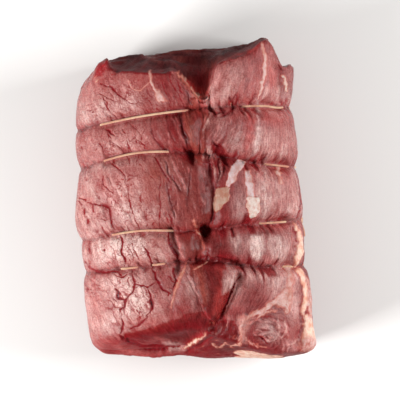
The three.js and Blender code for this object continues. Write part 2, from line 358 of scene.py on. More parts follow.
class Wiring:
    """Adds the nodes of one material and links them."""

    def __init__(self, name: str) -> None:
        """Starts an empty node material.

        Args:
            name: The material's name.
        """
        self.material = bpy.data.materials.new(name)
        self.material.use_nodes = True
        self.tree = self.material.node_tree
        self.tree.nodes.clear()

    def add(
        self, kind: str, inputs: dict[str | int, object], output: str | int = 0, **settings: object
    ) -> Signal:
        """Adds a node.

        Args:
            kind: The node's type without its "ShaderNode" start.
            inputs: Socket names or numbers, with a number, a colour or a signal for each.
            output: The name or number of the output that is used.
            settings: The node's own properties.

        Returns:
            The output's signal.
        """
        node = self.tree.nodes.new("ShaderNode" + kind)
        for name, value in settings.items():
            setattr(node, name, value)
        for socket, value in inputs.items():
            if isinstance(value, Signal):
                self.tree.links.new(value.socket, node.inputs[socket])
            else:
                node.inputs[socket].default_value = value
        return Signal(self, node.outputs[output])

    def attribute(self, name: str, output: str = "Fac") -> Signal:
        """The values that the mesh keeps under a name."""
        return self.add("Attribute", {}, output, attribute_name=name)

    def place(self) -> Signal:
        """The place on the piece, in mm."""
        return self.stretch(self.add("TexCoord", {}, "Object"), 1 / MM)

    def math(self, operation: str, first: Value, second: Value) -> Signal:
        """The result of a sum of two numbers or signals."""
        return self.add("Math", {0: first, 1: second}, operation=operation)

    def blend(self, share: Value, first: object, second: object, kind: str = "MIX") -> Signal:
        """Two colours mixed by a share."""
        return self.add("Mix", {0: share, 6: first, 7: second}, 2, data_type="RGBA", blend_type=kind)

    def stretch(self, vector: Signal, *scale: float) -> Signal:
        """A vector scaled along each axis, or alike along all for one scale."""
        return self.add("Mapping", {"Vector": vector, "Scale": scale if len(scale) > 1 else scale * 3})

    def noise(self, vector: Signal, detail: float, roughness: float) -> Signal:
        """A noise pattern with lumps one unit wide."""
        inputs = {"Vector": vector, "Scale": 1.0, "Detail": detail, "Roughness": roughness}
        return self.add("TexNoise", inputs, "Fac")

    def border(self, vector: Signal, scale: float) -> Signal:
        """The distance to the border of irregular cells."""
        inputs = {"Vector": vector, "Scale": scale}
        return self.add("TexVoronoi", inputs, "Distance", feature="DISTANCE_TO_EDGE")

    def finish(self, shader: Signal) -> bpy.types.Material:
        """Joins a shader to the material's output and hands the material over."""
        end = self.tree.nodes.new("ShaderNodeOutputMaterial")
        self.tree.links.new(shader.socket, end.inputs["Surface"])
        return self.material


def rgba(colour: Tint | tuple[int, int, int]) -> tuple[float, float, float, float]:
    """A display colour as a shader socket takes it."""
    value = colour.value if isinstance(colour, Tint) else colour
    return (*linear(value), 1.0)


def beef_material(finish: BeefFinish) -> bpy.types.Material:
    """Makes the meat's material, which reads its colours and fibre direction from the mesh.

    Args:
        finish: The finish's sizes.

    Returns:
        The material.
    """
    w = Wiring(finish.name)
    place = w.place()
    fibre = w.attribute("fibre", "Vector")
    haze, fat, crackle, gash = (w.attribute(name) for name in ("haze", "fat", "crackle", "gash"))
    width, length = 1 / finish.fibre_width, 1 / finish.fibre_length

    thread = w.noise(w.stretch(fibre, width, length, 0.1), 3.0, 0.6)
    bundle = w.noise(w.stretch(fibre, 0.19 * width, 0.24 * length, 0.1), 3.0, 0.6)
    clump = w.noise(w.stretch(place, 1 / finish.lump), 4.0, 0.62)
    grit = w.noise(w.stretch(place, 1 / finish.pit), 2.0, 0.6)
    speck = w.noise(w.stretch(place, 0.34 / finish.pit), 3.0, 0.6)
    mottle = w.noise(w.stretch(fibre, 1 / 2.6, 1 / 4.5, 1 / 2.6), 5.0, 0.68)
    wavy = w.add("TexNoise", {"Vector": place, "Scale": 0.3, "Detail": 3.0}, "Color")
    both = {0: w.stretch(fibre, 1.0, 0.6, 1.0), 1: w.stretch(wavy, 7.0)}
    warped = w.add("VectorMath", both, operation="ADD")
    plates = w.stretch(warped, 1 / finish.plate)
    plate = w.add("TexVoronoi", {"Vector": plates, "Scale": 1.0}, "Color")
    wide = w.border(plates, 1.0).ramp(0.0, 0.075, 1.0, 0.0) * clump.ramp(0.42, 0.56)
    narrow = w.border(plates, 2.4).ramp(0.0, 0.12, 0.6, 0.0) * clump.ramp(0.6, 0.45)
    crack = wide.most(narrow) * crackle.ramp(0.2, 0.8)

    open_fibre = (1.0 - crackle * 0.8) * finish.streaks
    uneven = (mottle.ramp(0.32, 0.68, -0.5, 0.5) + (grit - 0.5)) * crackle.ramp(0.3, 0.9, 1.0, 0.45)
    shade = (thread.ramp(0.36, 0.64) - 0.5) * open_fibre + uneven + 0.5
    dull, bright = (w.blend(1.0, w.attribute("tone", "Color"), colour, "MULTIPLY")
                    for colour in ((0.7, 0.5, 0.5, 1.0), (1.25, 1.38, 1.34, 1.0)))
    tone = w.blend(shade.held(), dull, bright)

    spotted = (mottle * 0.5 + bundle * 0.25 + grit * 0.25).ramp(0.36, 0.64, 0.62, 1.38)
    spotted = spotted * plate.ramp(0.1, 0.9, 0.85, 1.15) * grit.ramp(0.34, 0.5, 0.72, 1.05)
    striped = (thread * 0.4 + bundle * 0.35 + mottle * 0.25).ramp(0.42, 0.6, 0.35, 1.62)
    striped = striped * grit.ramp(0.36, 0.56, 0.7, 1.15)
    # The pale veil is dried skin and a painted sheen, streaked along the fibres and spotted where the skin
    # has cracked.
    skin_sheen_share = (haze * w.add("Mix", {0: crackle, 2: striped, 3: spotted})).held() * (1.0 - crack)
    tone = w.blend(crack * 0.75, tone, rgba(WET))
    inside = gash + (grit * 0.6 + speck * 0.5 - 0.55)
    gap = inside.ramp(0.46, 0.54) * gash.ramp(0.2, 0.4)
    dots = (speck + clump * 0.3).ramp(0.79, 0.83) * crackle.ramp(0.4, 0.85, 0.0, 0.8)
    skin_sheen_share = (skin_sheen_share * (1.0 - gap.most(dots))).held()
    tone = w.blend(skin_sheen_share, tone, rgba(HAZE))
    # Deep inside an open crack the red turns wet and then dark; the dark is painted shade.
    deep = w.blend(inside.ramp(0.54, 0.7), rgba(BLOOD), rgba(WET))
    deep = w.blend(inside.ramp(0.68, 0.88, 0.0, 0.8), deep, rgba(DARK))
    tone = w.blend(dots * 0.6, tone, rgba(BLOOD))
    tone = w.blend(gap * gash.ramp(0.45, 0.7, 0.55, 0.95), tone, deep)

    ragged = fat + (thread * 0.4 + speck * 0.6 - 0.5) * 1.5
    covered = ragged.ramp(0.22, 0.6) * fat.ramp(0.02, 0.2)
    rim = ragged.ramp(0.0, 0.4) * fat.ramp(0.02, 0.12)
    greasy = w.blend((mottle + clump).ramp(0.85, 1.15), (0.86, 0.58, 0.5, 1.0), (1.08, 1.12, 1.12, 1.0))
    trim = w.blend(1.0, w.attribute("trim", "Color"), greasy, "MULTIPLY")
    tone = w.blend(covered, w.blend(rim * 0.75, tone, rgba(RIM)), trim)

    height = thread * open_fibre * 0.8 + grit * crackle.ramp(0.3, 0.9, 0.8, 0.3) + (skin_sheen_share - crack) * 0.5
    height = height - gap.most(dots * 0.5) + covered * 0.7 + speck * crackle * 0.4
    rough = (clump * 0.6 + grit * 0.4).ramp(0.35, 0.65, *finish.roughness)
    return w.finish(w.add("BsdfPrincipled", {
        "Base Color": tone, "Roughness": rough + skin_sheen_share * finish.skin_roughness,
        "Normal": w.add("Bump", {"Height": height, "Strength": 1.0, "Distance": finish.bump * MM}),
        "Subsurface Weight": 0.25, "Subsurface Radius": finish.scatter, "Subsurface Scale": MM,
        "IOR": finish.ior,
    }))


def twine_material(finish: TwineFinish) -> bpy.types.Material:
    """Makes the string's material.

    Args:
        finish: The finish's colours and sizes.

    Returns:
        The material.
    """
    w = Wiring(finish.name)
    place = w.place()
    stain = w.noise(w.stretch(place, 1 / 14), 4.0, 0.7)
    fuzz = w.noise(w.stretch(place, 1 / finish.hair), 3.0, 0.6)
    tone = w.blend(stain.ramp(0.4, 0.64), rgba(finish.clean), rgba(finish.stained))
    return w.finish(w.add("BsdfPrincipled", {
        "Base Color": w.blend(fuzz.ramp(0.3, 0.7, 0.0, 0.25), tone, rgba(FAT)), "Roughness": finish.roughness,
        "Normal": w.add("Bump", {"Height": fuzz, "Strength": 0.7, "Distance": finish.hair * MM}),
        "Sheen Weight": 0.3,
    }))


def floor_material(finish: FloorFinish) -> bpy.types.Material:
    """Makes the floor's material.

    Args:
        finish: The finish's colour and roughness.

    Returns:
        The material.
    """
    w = Wiring(finish.name)
    inputs = {"Base Color": rgba(finish.colour), "Roughness": finish.roughness}
    return w.finish(w.add("BsdfPrincipled", inputs))


# ---- Marks on the meat ----

GASH_SCALE = 2.0  # mm, over which a crack's edge is told from its inside


class Profile(Enum):
    """How a mark's relief runs across it."""

    ROUND = "round"  # the same on both sides
    LIP = "lip"  # the left side of a route that runs down the plan stands over its right side


@dataclass(frozen=True)
class Mark:
    """A crack, seam, vein or edge drawn along a route on the plan."""

    name: str
    route: Route  # steps
    width: float  # mm, to each side
    relief: float = 0.0  # mm outwards
    tint: Tint | None = None
    strength: float = 1.0
    profile: Profile = Profile.ROUND
    fade: float = 6.0  # mm, how far a lip's rise reaches back
    fat: float = 0.0
    haze: float = 0.0
    level: bool = False  # a level mark keeps its width to its ends

    def opens(self) -> bool:
        """Whether the mark is an open crack with a sharp red edge."""
        return self.relief < 0 and self.tint in (BLOOD, WET)

    def smooth_route(self) -> Array:
        """The route with rounded turns, as closer points."""
        knots = corners(self.route)
        if len(knots) < 3:
            return knots
        steps = np.r_[0.0, np.cumsum(np.linalg.norm(np.diff(knots, axis=0), axis=1))]
        fine = np.linspace(0.0, steps[-1], 5 * len(knots))
        return np.stack([through(np.c_[steps, column], fine) for column in knots.T], axis=1)

    def measure(self, seen: Array) -> tuple[Array, Array, Array]:
        """How points on the plan lie to the route.

        Args:
            seen: Places on the plan, in steps.

        Returns:
            For each place its distance in mm, its side (1 at the left of a route that runs down the plan, -1
            at its right) and its share of the way along.
        """
        route = self.smooth_route()
        best = np.full(len(seen), np.inf)
        side = np.ones(len(seen))
        along = np.zeros(len(seen))
        for n, (start, end) in enumerate(zip(route[:-1], route[1:])):
            distance, share = to_line(seen, start, end)
            (right, down), offset = end - start, seen - start
            nearer = distance < best
            best = np.where(nearer, distance, best)
            side = np.where(nearer, np.sign(offset[:, 1] * right - offset[:, 0] * down + 1e-9), side)
            along = np.where(nearer, (n + share) / (len(route) - 1), along)
        return best * PLAN.step, side, along

    def taper(self, along: Array) -> Array:
        """How wide the mark is along its route, against its full width."""
        ends = 0.3 + 0.7 * np.sin(np.pi * np.clip(along, 0.0, 1.0)) ** 0.7
        return np.ones(len(along)) if self.level else ends

    def cover(self, distance: Array, along: Array) -> Array:
        """How much of the mark's colour covers each place, from 0 to 1."""
        wide = self.taper(along)
        return bell(distance, self.width * wide) * np.minimum(1.0, wide + 0.2)

    def gash(self, distance: Array, along: Array) -> Array:
        """How far inside an open crack each place is, where one half is its edge."""
        half = self.width * self.taper(along) * (0.35 + 0.35 * self.strength)
        return np.clip(0.5 + (half - distance) / GASH_SCALE, 0.0, 1.0)

    def raised(self, seen: Array) -> Array:
        """How far the mark stands out of the surface at each place on the plan, in mm.

        Args:
            seen: Places on the plan, in steps.

        Returns:
            The relief at each place.
        """
        distance, side, along = self.measure(seen)
        wide = self.taper(along)
        if self.profile is Profile.ROUND:
            return self.relief * bell(distance, self.width * wide) * wide
        step = smoothstep(-self.width, self.width, distance * side)
        drop = 0.4 * (1 - step) * bell(distance, 1.5)
        return self.relief * wide * (step * np.exp(-distance / self.fade) - drop)


@dataclass(frozen=True)
class Patch:
    """An area of the plan with a colour, a height or a character of its own."""

    name: str
    outline: Route  # steps
    feather: float = 1.5  # mm
    relief: float = 0.0
    tint: Tint | None = None
    strength: float = 1.0
    fat: float = 0.0
    haze: float = 0.0
    crackle: float = 0.0
    lowest: float = -50.0  # mm, the height it reaches down to
    spot: Triple | None = None  # mm, across, up and radius of a spot on an end face

    def held(self, places: Array) -> Array:
        """How far each place lies above the patch's lowest height and in its spot, with a wavy border."""
        wave = 7.0 * noise(places, 9.0, 81) + 2.0 * noise(places, 3.0, 83)
        share = smoothstep(-3, 3, places[:, 2] + wave - self.lowest)
        if self.spot:
            across, up, radius = self.spot
            share *= smoothstep(-1.5, 1.5, radius - wave - np.hypot(places[:, 0] - across, places[:, 2] - up))
        return share

    def cover(self, seen: Array) -> Array:
        """How much of the patch covers each place on the plan, from 0 to 1.

        Args:
            seen: Places on the plan, in steps.

        Returns:
            The share for each place.
        """
        posts = corners(self.outline)
        inside = np.zeros(len(seen), bool)
        best = np.full(len(seen), np.inf)
        for start, end in zip(posts, np.roll(posts, -1, axis=0)):
            best = np.minimum(best, to_line(seen, start, end)[0])
            crosses = (start[1] > seen[:, 1]) != (end[1] > seen[:, 1])
            rise = np.where(end[1] == start[1], 1e-9, end[1] - start[1])
            inside ^= crosses & (seen[:, 0] < (end[0] - start[0]) * (seen[:, 1] - start[1]) / rise + start[0])
        depth = np.where(inside, best, -best) * PLAN.step
        return smoothstep(-self.feather, self.feather, depth)


@dataclass(frozen=True)
class Bloom:
    """A soft spot of colour."""

    name: str
    centre: Point  # steps
    reach: Point  # steps, across and down
    tint: Tint
    strength: float = 1.0
    # haze is the pale dried skin with its painted sheen
    haze: float | None = None  # what the haze and the crackle become here
    crackle: float | None = None
    marble: float = 0.0  # how much thin fat runs through it
    plates: float | None = None  # how far its skin has cracked into plates
    strands: float | None = None  # how far its fibres part into strands

    def cover(self, seen: Array) -> Array:
        """How strong the spot is at each place on the plan, from 0 to 1."""
        return soft_spot(seen, self.centre, self.reach)


@dataclass(frozen=True)
class Lean:
    """A part of the plan where the fibres run aslant."""

    name: str
    centre: Point  # steps
    reach: Point  # steps, across and down
    lean: float  # steps to the left for each step down


@dataclass(frozen=True)
class Push:
    """A corner or notch that moves the surface as a whole."""

    name: str
    place: Triple  # mm
    reach: Triple  # mm
    move: Triple  # mm

    def moved(self, places: Array) -> Array:
        """How far each place moves, in mm."""
        return soft_spot(places, self.place, self.reach)[:, None] * np.array(self.move)


# ---- Form ----


@dataclass(frozen=True)
class Tie:
    """One string round the joint."""

    name: str
    top: tuple[float, float, float, float, float]  # mm along the roll, at five places across
    knot_height: float  # mm
    covered: Route  # steps across the plan, from and to, where meat closes over the string


TIES = (
    Tie("string_1", (-45.5, -41.3, -37.5, -40.5, -41.0), 20.0, "60,119 140,151 167,281 297,330"),
    Tie("string_2", (-26.7, -19.6, -19.5, -15.8, -13.5), 31.0, "60,110 176,257 291,330"),
    Tie("string_3", (18.0, 27.2, 27.0, 22.0, 19.5), 20.0, "60,102 171,262 292,330"),
    Tie("string_4", (41.7, 48.8, 53.5, 55.5, 56.5), 20.0, "60,97 192,240 286,330"),
)


@dataclass(frozen=True)
class Furrow:
    """A seam or gap of the upper side, which the solid has too."""

    line: Route  # mm
    depth: float
    width: float


@dataclass(frozen=True)
class RollForm:
    """The joint's smooth outlines and main hollows, as the solid has them."""

    height: float = 84.0
    waist: float = 38.0
    sag: float = 7.0
    corner_drop: float = 6.0  # at the far right corner
    roundness: float = 2.6
    far_power: float = 22.0
    near_power: float = 16.0
    bay_rows: tuple[int, ...] = (10, 7, 10, 7, 10)  # the solid's mesh rows between ends and strings
    bay_lengths: tuple[float, ...] = (57.0, 21.0, 45.0, 27.0, 42.0)
    bay_middles: tuple[float, ...] = (-70.0, -30.0, 3.0, 38.0, 72.0)  # mm along the roll
    fine_rows: tuple[int, ...] = (95, 35, 73, 45, 72)
    loop_x: tuple[float, ...] = (-72.0, -35.0, 0.0, 32.0, 62.0)
    crease_floor: float = 1.9
    crease_reach: float = 10.0
    crease_left: float = 3.2
    crease_right: float = 5.4
    crease_flank: float = 2.8
    crease_base: float = 3.5
    left_side: Route = (
        "-100,-55 -92,-61.5 -81,-65.5 -62,-67.5 -33,-69.5 -3,-74 30,-73.5 58,-74 74,-71.5 92,-65"
    )
    right_side: Route = "-100,72 -93,79.5 -86,78 -66,73.5 -28,67.5 0,65 33,62.5 61,60.5 77,63.5 92,61"
    far_foot: Route = (
        "-76,60 -69,71 -62,78.5 -54,83.5 -45,87 -28,91 0,94.5 30,95 41,97.5 47,92.5 53,87 61,83 66,78"
    )
    far_rim: Route = (
        "-76,58 -69,68 -62,75 -54,79.5 -46,77 -20,76 -14,76.5 -7,70.5 1,64 5,63.5 9,69 13,79 24,84.5 "
        "34,89.5 41,95 47,90 53,84.5 61,80 66,76"
    )
    near_foot: Route = "-76,-88 -62,-94 -55,-97 -22,-97.5 -9,-95.5 10,-98 47,-98.8 66,-97.4 80,-93"
    near_rim: Route = "-76,-82 -50,-86 -28,-83 0,-80 12,-85 40,-91 60,-93 80,-90"
    crest: Route = "-98,70 -84,76 -60,81 -20,83 20,84 60,83 80,81 98,77"
    furrows: tuple[Furrow, ...] = (
        Furrow("5,61 7.6,53 4.6,44 2.8,35 3.4,26", 3.2, 4.5),
        Furrow("7,17 10,2 10.6,-10 5.8,-20.7", 3.4, 4.0),
        Furrow("5.8,-20.7 1.6,-26 3,-31 1,-36.5", 3.5, 3.5),
        Furrow("-15,-19.5 -11.6,-27 -9.2,-34 -10.4,-41.7", 3.5, 3.0),
        Furrow("-10.4,-41.7 -11.6,-52 -15.2,-65", 1.6, 3.0),
        Furrow("25.6,-48 22.6,-56 18.4,-65.5 14,-73 10,-78", 4.5, 3.5),
        Furrow("49.5,78 51,70 53.5,62", 2.5, 3.5),
        Furrow("58,-15 61.5,-24 60.5,-32 57,-38.5", 3.0, 3.0),
        Furrow("65,-66 66,-80 63,-89", 3.0, 3.0),
        Furrow("6,-21 6,-21.1", 5.0, 4.5),
        Furrow("-3,25.5 -3,25.4", 4.5, 3.5),
        Furrow("16,25.5 16,25.4", 4.0, 5.0),
        Furrow("-2.5,53.5 -2.5,53.4", 3.0, 3.0),
    )

    def loop_line(self, tie: Tie, x: Array, z: Array) -> Array:
        """Where a string's line lies along the roll.

        Args:
            tie: The string.
            x: Places across.
            z: Their heights.

        Returns:
            The place along the roll at each of them.
        """
        share = np.clip((x - self.loop_x[0]) / (self.loop_x[-1] - self.loop_x[0]), 0.0, 1.0)
        straight = mix(tie.top[0], tie.top[-1], share)
        on_top = through(np.c_[self.loop_x, tie.top], x)
        return mix(straight, on_top, smoothstep(self.waist - 6, self.height - 14, z))

    def far_end(self, x: Array, z: Array) -> Array:
        """Where the far end lies along the roll at places across and up."""
        share = smoothstep(self.height - 34, self.height - 6, z)
        return mix(through(self.far_foot, x), through(self.far_rim, x), share)

    def near_end(self, x: Array, z: Array) -> Array:
        """Where the near end lies along the roll at places across and up."""
        share = smoothstep(self.waist - 10, self.height - 4, z)
        return mix(through(self.near_foot, x), through(self.near_rim, x), share)

    def bay_share(self, row: Array, rows: int, length: float) -> Array:
        """How far along a bay a mesh row of the solid lies, in mm from the bay's start.

        Args:
            row: Rows from the bay's start, not always whole.
            rows: The bay's number of rows.
            length: The bay's length in mm.

        Returns:
            The distance from the bay's start.
        """
        u = np.clip((row - 1) / (rows - 2), 0.0, 1.0)
        eased = (u + (1 - np.cos(np.pi * u)) / 2) / 2
        middle = self.crease_floor + eased * (length - 2 * self.crease_floor)
        start = self.crease_floor * row
        end = length - self.crease_floor * (rows - row)
        return np.where(row <= 1, start, np.where(row >= rows - 1, end, middle))

    def fine_row(self, number: Array) -> Array:
        """The place on the solid's unit box of each row of the fine mesh.

        Args:
            number: Row numbers of the fine mesh.

        Returns:
            Places along the box, from -1 to 1.
        """
        starts = np.r_[0, np.cumsum(self.fine_rows)]
        bay = np.clip(np.searchsorted(starts, number, side="right") - 1, 0, len(self.fine_rows) - 1)
        row = np.zeros(len(number))
        first = 0
        for n, (rows, fine, length) in enumerate(zip(self.bay_rows, self.fine_rows, self.bay_lengths)):
            table = np.linspace(0.0, rows, 600)
            here = bay == n
            place = (number[here] - starts[n]) / fine * length
            row[here] = first + np.interp(place, self.bay_share(table, rows, length), table)
            first += rows
        return 2.0 * row / sum(self.bay_rows) - 1.0

    def along(self, share: Array, x: Array, z: Array) -> Array:
        """Where points lie along the roll.

        Args:
            share: Places along the unit box, from -1 to 1.
            x: Places across, in mm.
            z: Heights, in mm.

        Returns:
            Places along the roll, in mm.
        """
        starts = np.r_[0, np.cumsum(self.bay_rows)]
        row = (share + 1) / 2 * starts[-1]
        bay = np.clip(np.searchsorted(starts, row - 1e-9, side="right") - 1, 0, len(self.bay_rows) - 1)
        lines = [self.near_end(x, z), *(self.loop_line(tie, x, z) for tie in TIES), self.far_end(x, z)]
        place = np.zeros(len(share))
        for n, rows in enumerate(self.bay_rows):
            length = lines[n + 1] - lines[n]
            there = lines[n] + self.bay_share(np.clip(row - starts[n], 0.0, rows), rows, length)
            place = np.where(bay == n, there, place)
        return place

    def outline(self, box: Array) -> Array:
        """Puts points of a unit box on the joint's smooth outline.

        Args:
            box: Points on the unit box, one row each.

        Returns:
            Their places, in mm.
        """
        x, y, z = box.T
        axis = np.maximum(np.abs(x), np.abs(z))
        across = (np.abs(x) ** self.roundness + np.abs(z) ** self.roundness) ** (1 / self.roundness)
        soften = axis / np.maximum(across, 1e-9)
        power = np.where(y > 0, self.far_power, self.near_power)
        shrink = (axis**power + np.abs(y) ** power) ** (-1 / power)
        px, py, pz = x * soften * shrink, y * shrink, z * soften * shrink
        rough = self.along(py, np.zeros(len(py)), np.full(len(py), self.height))
        left, right = through(self.left_side, rough), through(self.right_side, rough)
        wide = mix(left, right, (px + 1) / 2)
        rise = np.where(pz > 0, through(self.crest, rough) - self.waist, self.waist + self.sag)
        high = self.waist + pz * rise
        far = self.along(py, wide, high)
        corner = smoothstep(46, 54, wide) * smoothstep(54, 66, far)
        lower = self.corner_drop * corner * smoothstep(self.waist, self.height - 10, high)
        return np.stack([wide, far, high - lower], axis=1)

    def ties_near(self, places: Array) -> tuple[Array, Array]:
        """The nearest string of each place.

        Args:
            places: Places in mm, one row each.

        Returns:
            The string's number, and the distance along the roll from its line.
        """
        x, y, z = places.T
        gaps = np.stack([y - self.loop_line(tie, x, z) for tie in TIES])
        nearest = np.argmin(np.abs(gaps), axis=0)
        return nearest, gaps[nearest, np.arange(len(x))]

    def covering(self, places: Array, nearest: Array) -> Array:
        """How far meat closes over the nearest string at each place, from 0 to 1.

        Args:
            places: Places in mm, one row each.
            nearest: The number of the nearest string of each.

        Returns:
            The share for each place.
        """
        across = PLAN.seen(places)[:, 0]
        cover = np.zeros(len(places))
        for number, tie in enumerate(TIES):
            for start, end in corners(tie.covered):
                inside = smoothstep(start - 3, start + 1, across) * (1 - smoothstep(end - 1, end + 3, across))
                cover = np.maximum(cover, inside * (nearest == number))
        right = smoothstep(-30, 0, places[:, 0]) * (1 - 0.5 * smoothstep(40, 54, places[:, 0]))
        lowest = mix(24.0, 50.0, right)
        return cover * smoothstep(0.0, 8.0, places[:, 2] - lowest)

    def crease(self, places: Array) -> Array:
        """How far the strings press the surface in, in mm outwards.

        Args:
            places: Places on the smooth outline.

        Returns:
            The relief at each place.
        """
        x, _, z = places.T
        nearest, gap = self.ties_near(places)
        cover = self.covering(places, nearest)
        on_top = mix(self.crease_left, self.crease_right, smoothstep(-45, 5, x))
        upper = mix(self.crease_flank, on_top, smoothstep(self.waist + 5, self.waist + 30, z))
        depth = mix(self.crease_base, upper, smoothstep(4, 24, z))
        floor = mix(self.crease_floor, 0.2, cover)
        u = 1 - np.clip((np.abs(gap) - floor) / self.crease_reach, 0.0, 1.0)
        share = 1 - np.sqrt(1 - u * u)
        embedded = 0.6 * (1 - cover) * smoothstep(8, 16, z)
        return -np.minimum(depth * share, depth - mix(embedded, 1.0, cover))

    def seams(self, places: Array) -> Array:
        """The relief of the seams, hollows and the near flap of the upper side, in mm outwards.

        Args:
            places: Places on the smooth outline.

        Returns:
            The relief at each place.
        """
        plan = places[:, :2]
        relief = np.zeros(len(places))
        for furrow in self.furrows:
            line = corners(furrow.line)
            gaps = [to_line(plan, start, end)[0] for start, end in zip(line[:-1], line[1:])]
            relief -= furrow.depth * bell(np.min(gaps, axis=0), furrow.width)
        down = np.clip((places[:, 1] + 72) / 32, 0.0, 1.0)
        half = 10 * np.sqrt(down) + 0.01
        from_axis = np.abs(places[:, 0] - mix(10, 9, down))
        flap = 2.2 * (1 - smoothstep(half - 2, half + 1, from_axis))
        return relief + np.where((places[:, 1] > -72) & (places[:, 1] < -40), flap, 0.0)

    def ends(self, places: Array, box: Array) -> Array:
        """The relief of the two ends: the inner muscle set back, and the ledge of the near end."""
        ring = np.hypot(box[:, 0], (places[:, 2] - self.waist) / self.waist)
        inner = -3.0 * (1 - smoothstep(0.58, 0.76, ring))
        reach = smoothstep(-62, -50, places[:, 0]) * (1 - smoothstep(-10, 2, places[:, 0]))
        ledge = -4.5 * reach * bell(places[:, 2] - 43, 5.0)
        return np.where(box[:, 1] > FACE, inner, np.where(box[:, 1] < -0.7, ledge, 0.0))

    def main_relief(self, places: Array, box: Array, normals: Array) -> Array:
        """How far the solid's surface stands out from the smooth outline.

        Args:
            places: Places on the smooth outline.
            box: The same points on the unit box.
            normals: The outline's outward directions.

        Returns:
            The relief in mm, outwards.
        """
        x, y, z = places.T
        upper = smoothstep(self.waist + 4, self.waist + 24, z) * smoothstep(0.1, 0.6, normals[:, 2])
        waves = 0.7 * np.sin(x / 9 + y / 31) * np.cos(y / 17 - 0.6) + 0.5 * np.sin(x / 21 - y / 7.5 + z / 13)
        return self.crease(places) + upper * self.seams(places) + self.ends(places, box) + waves
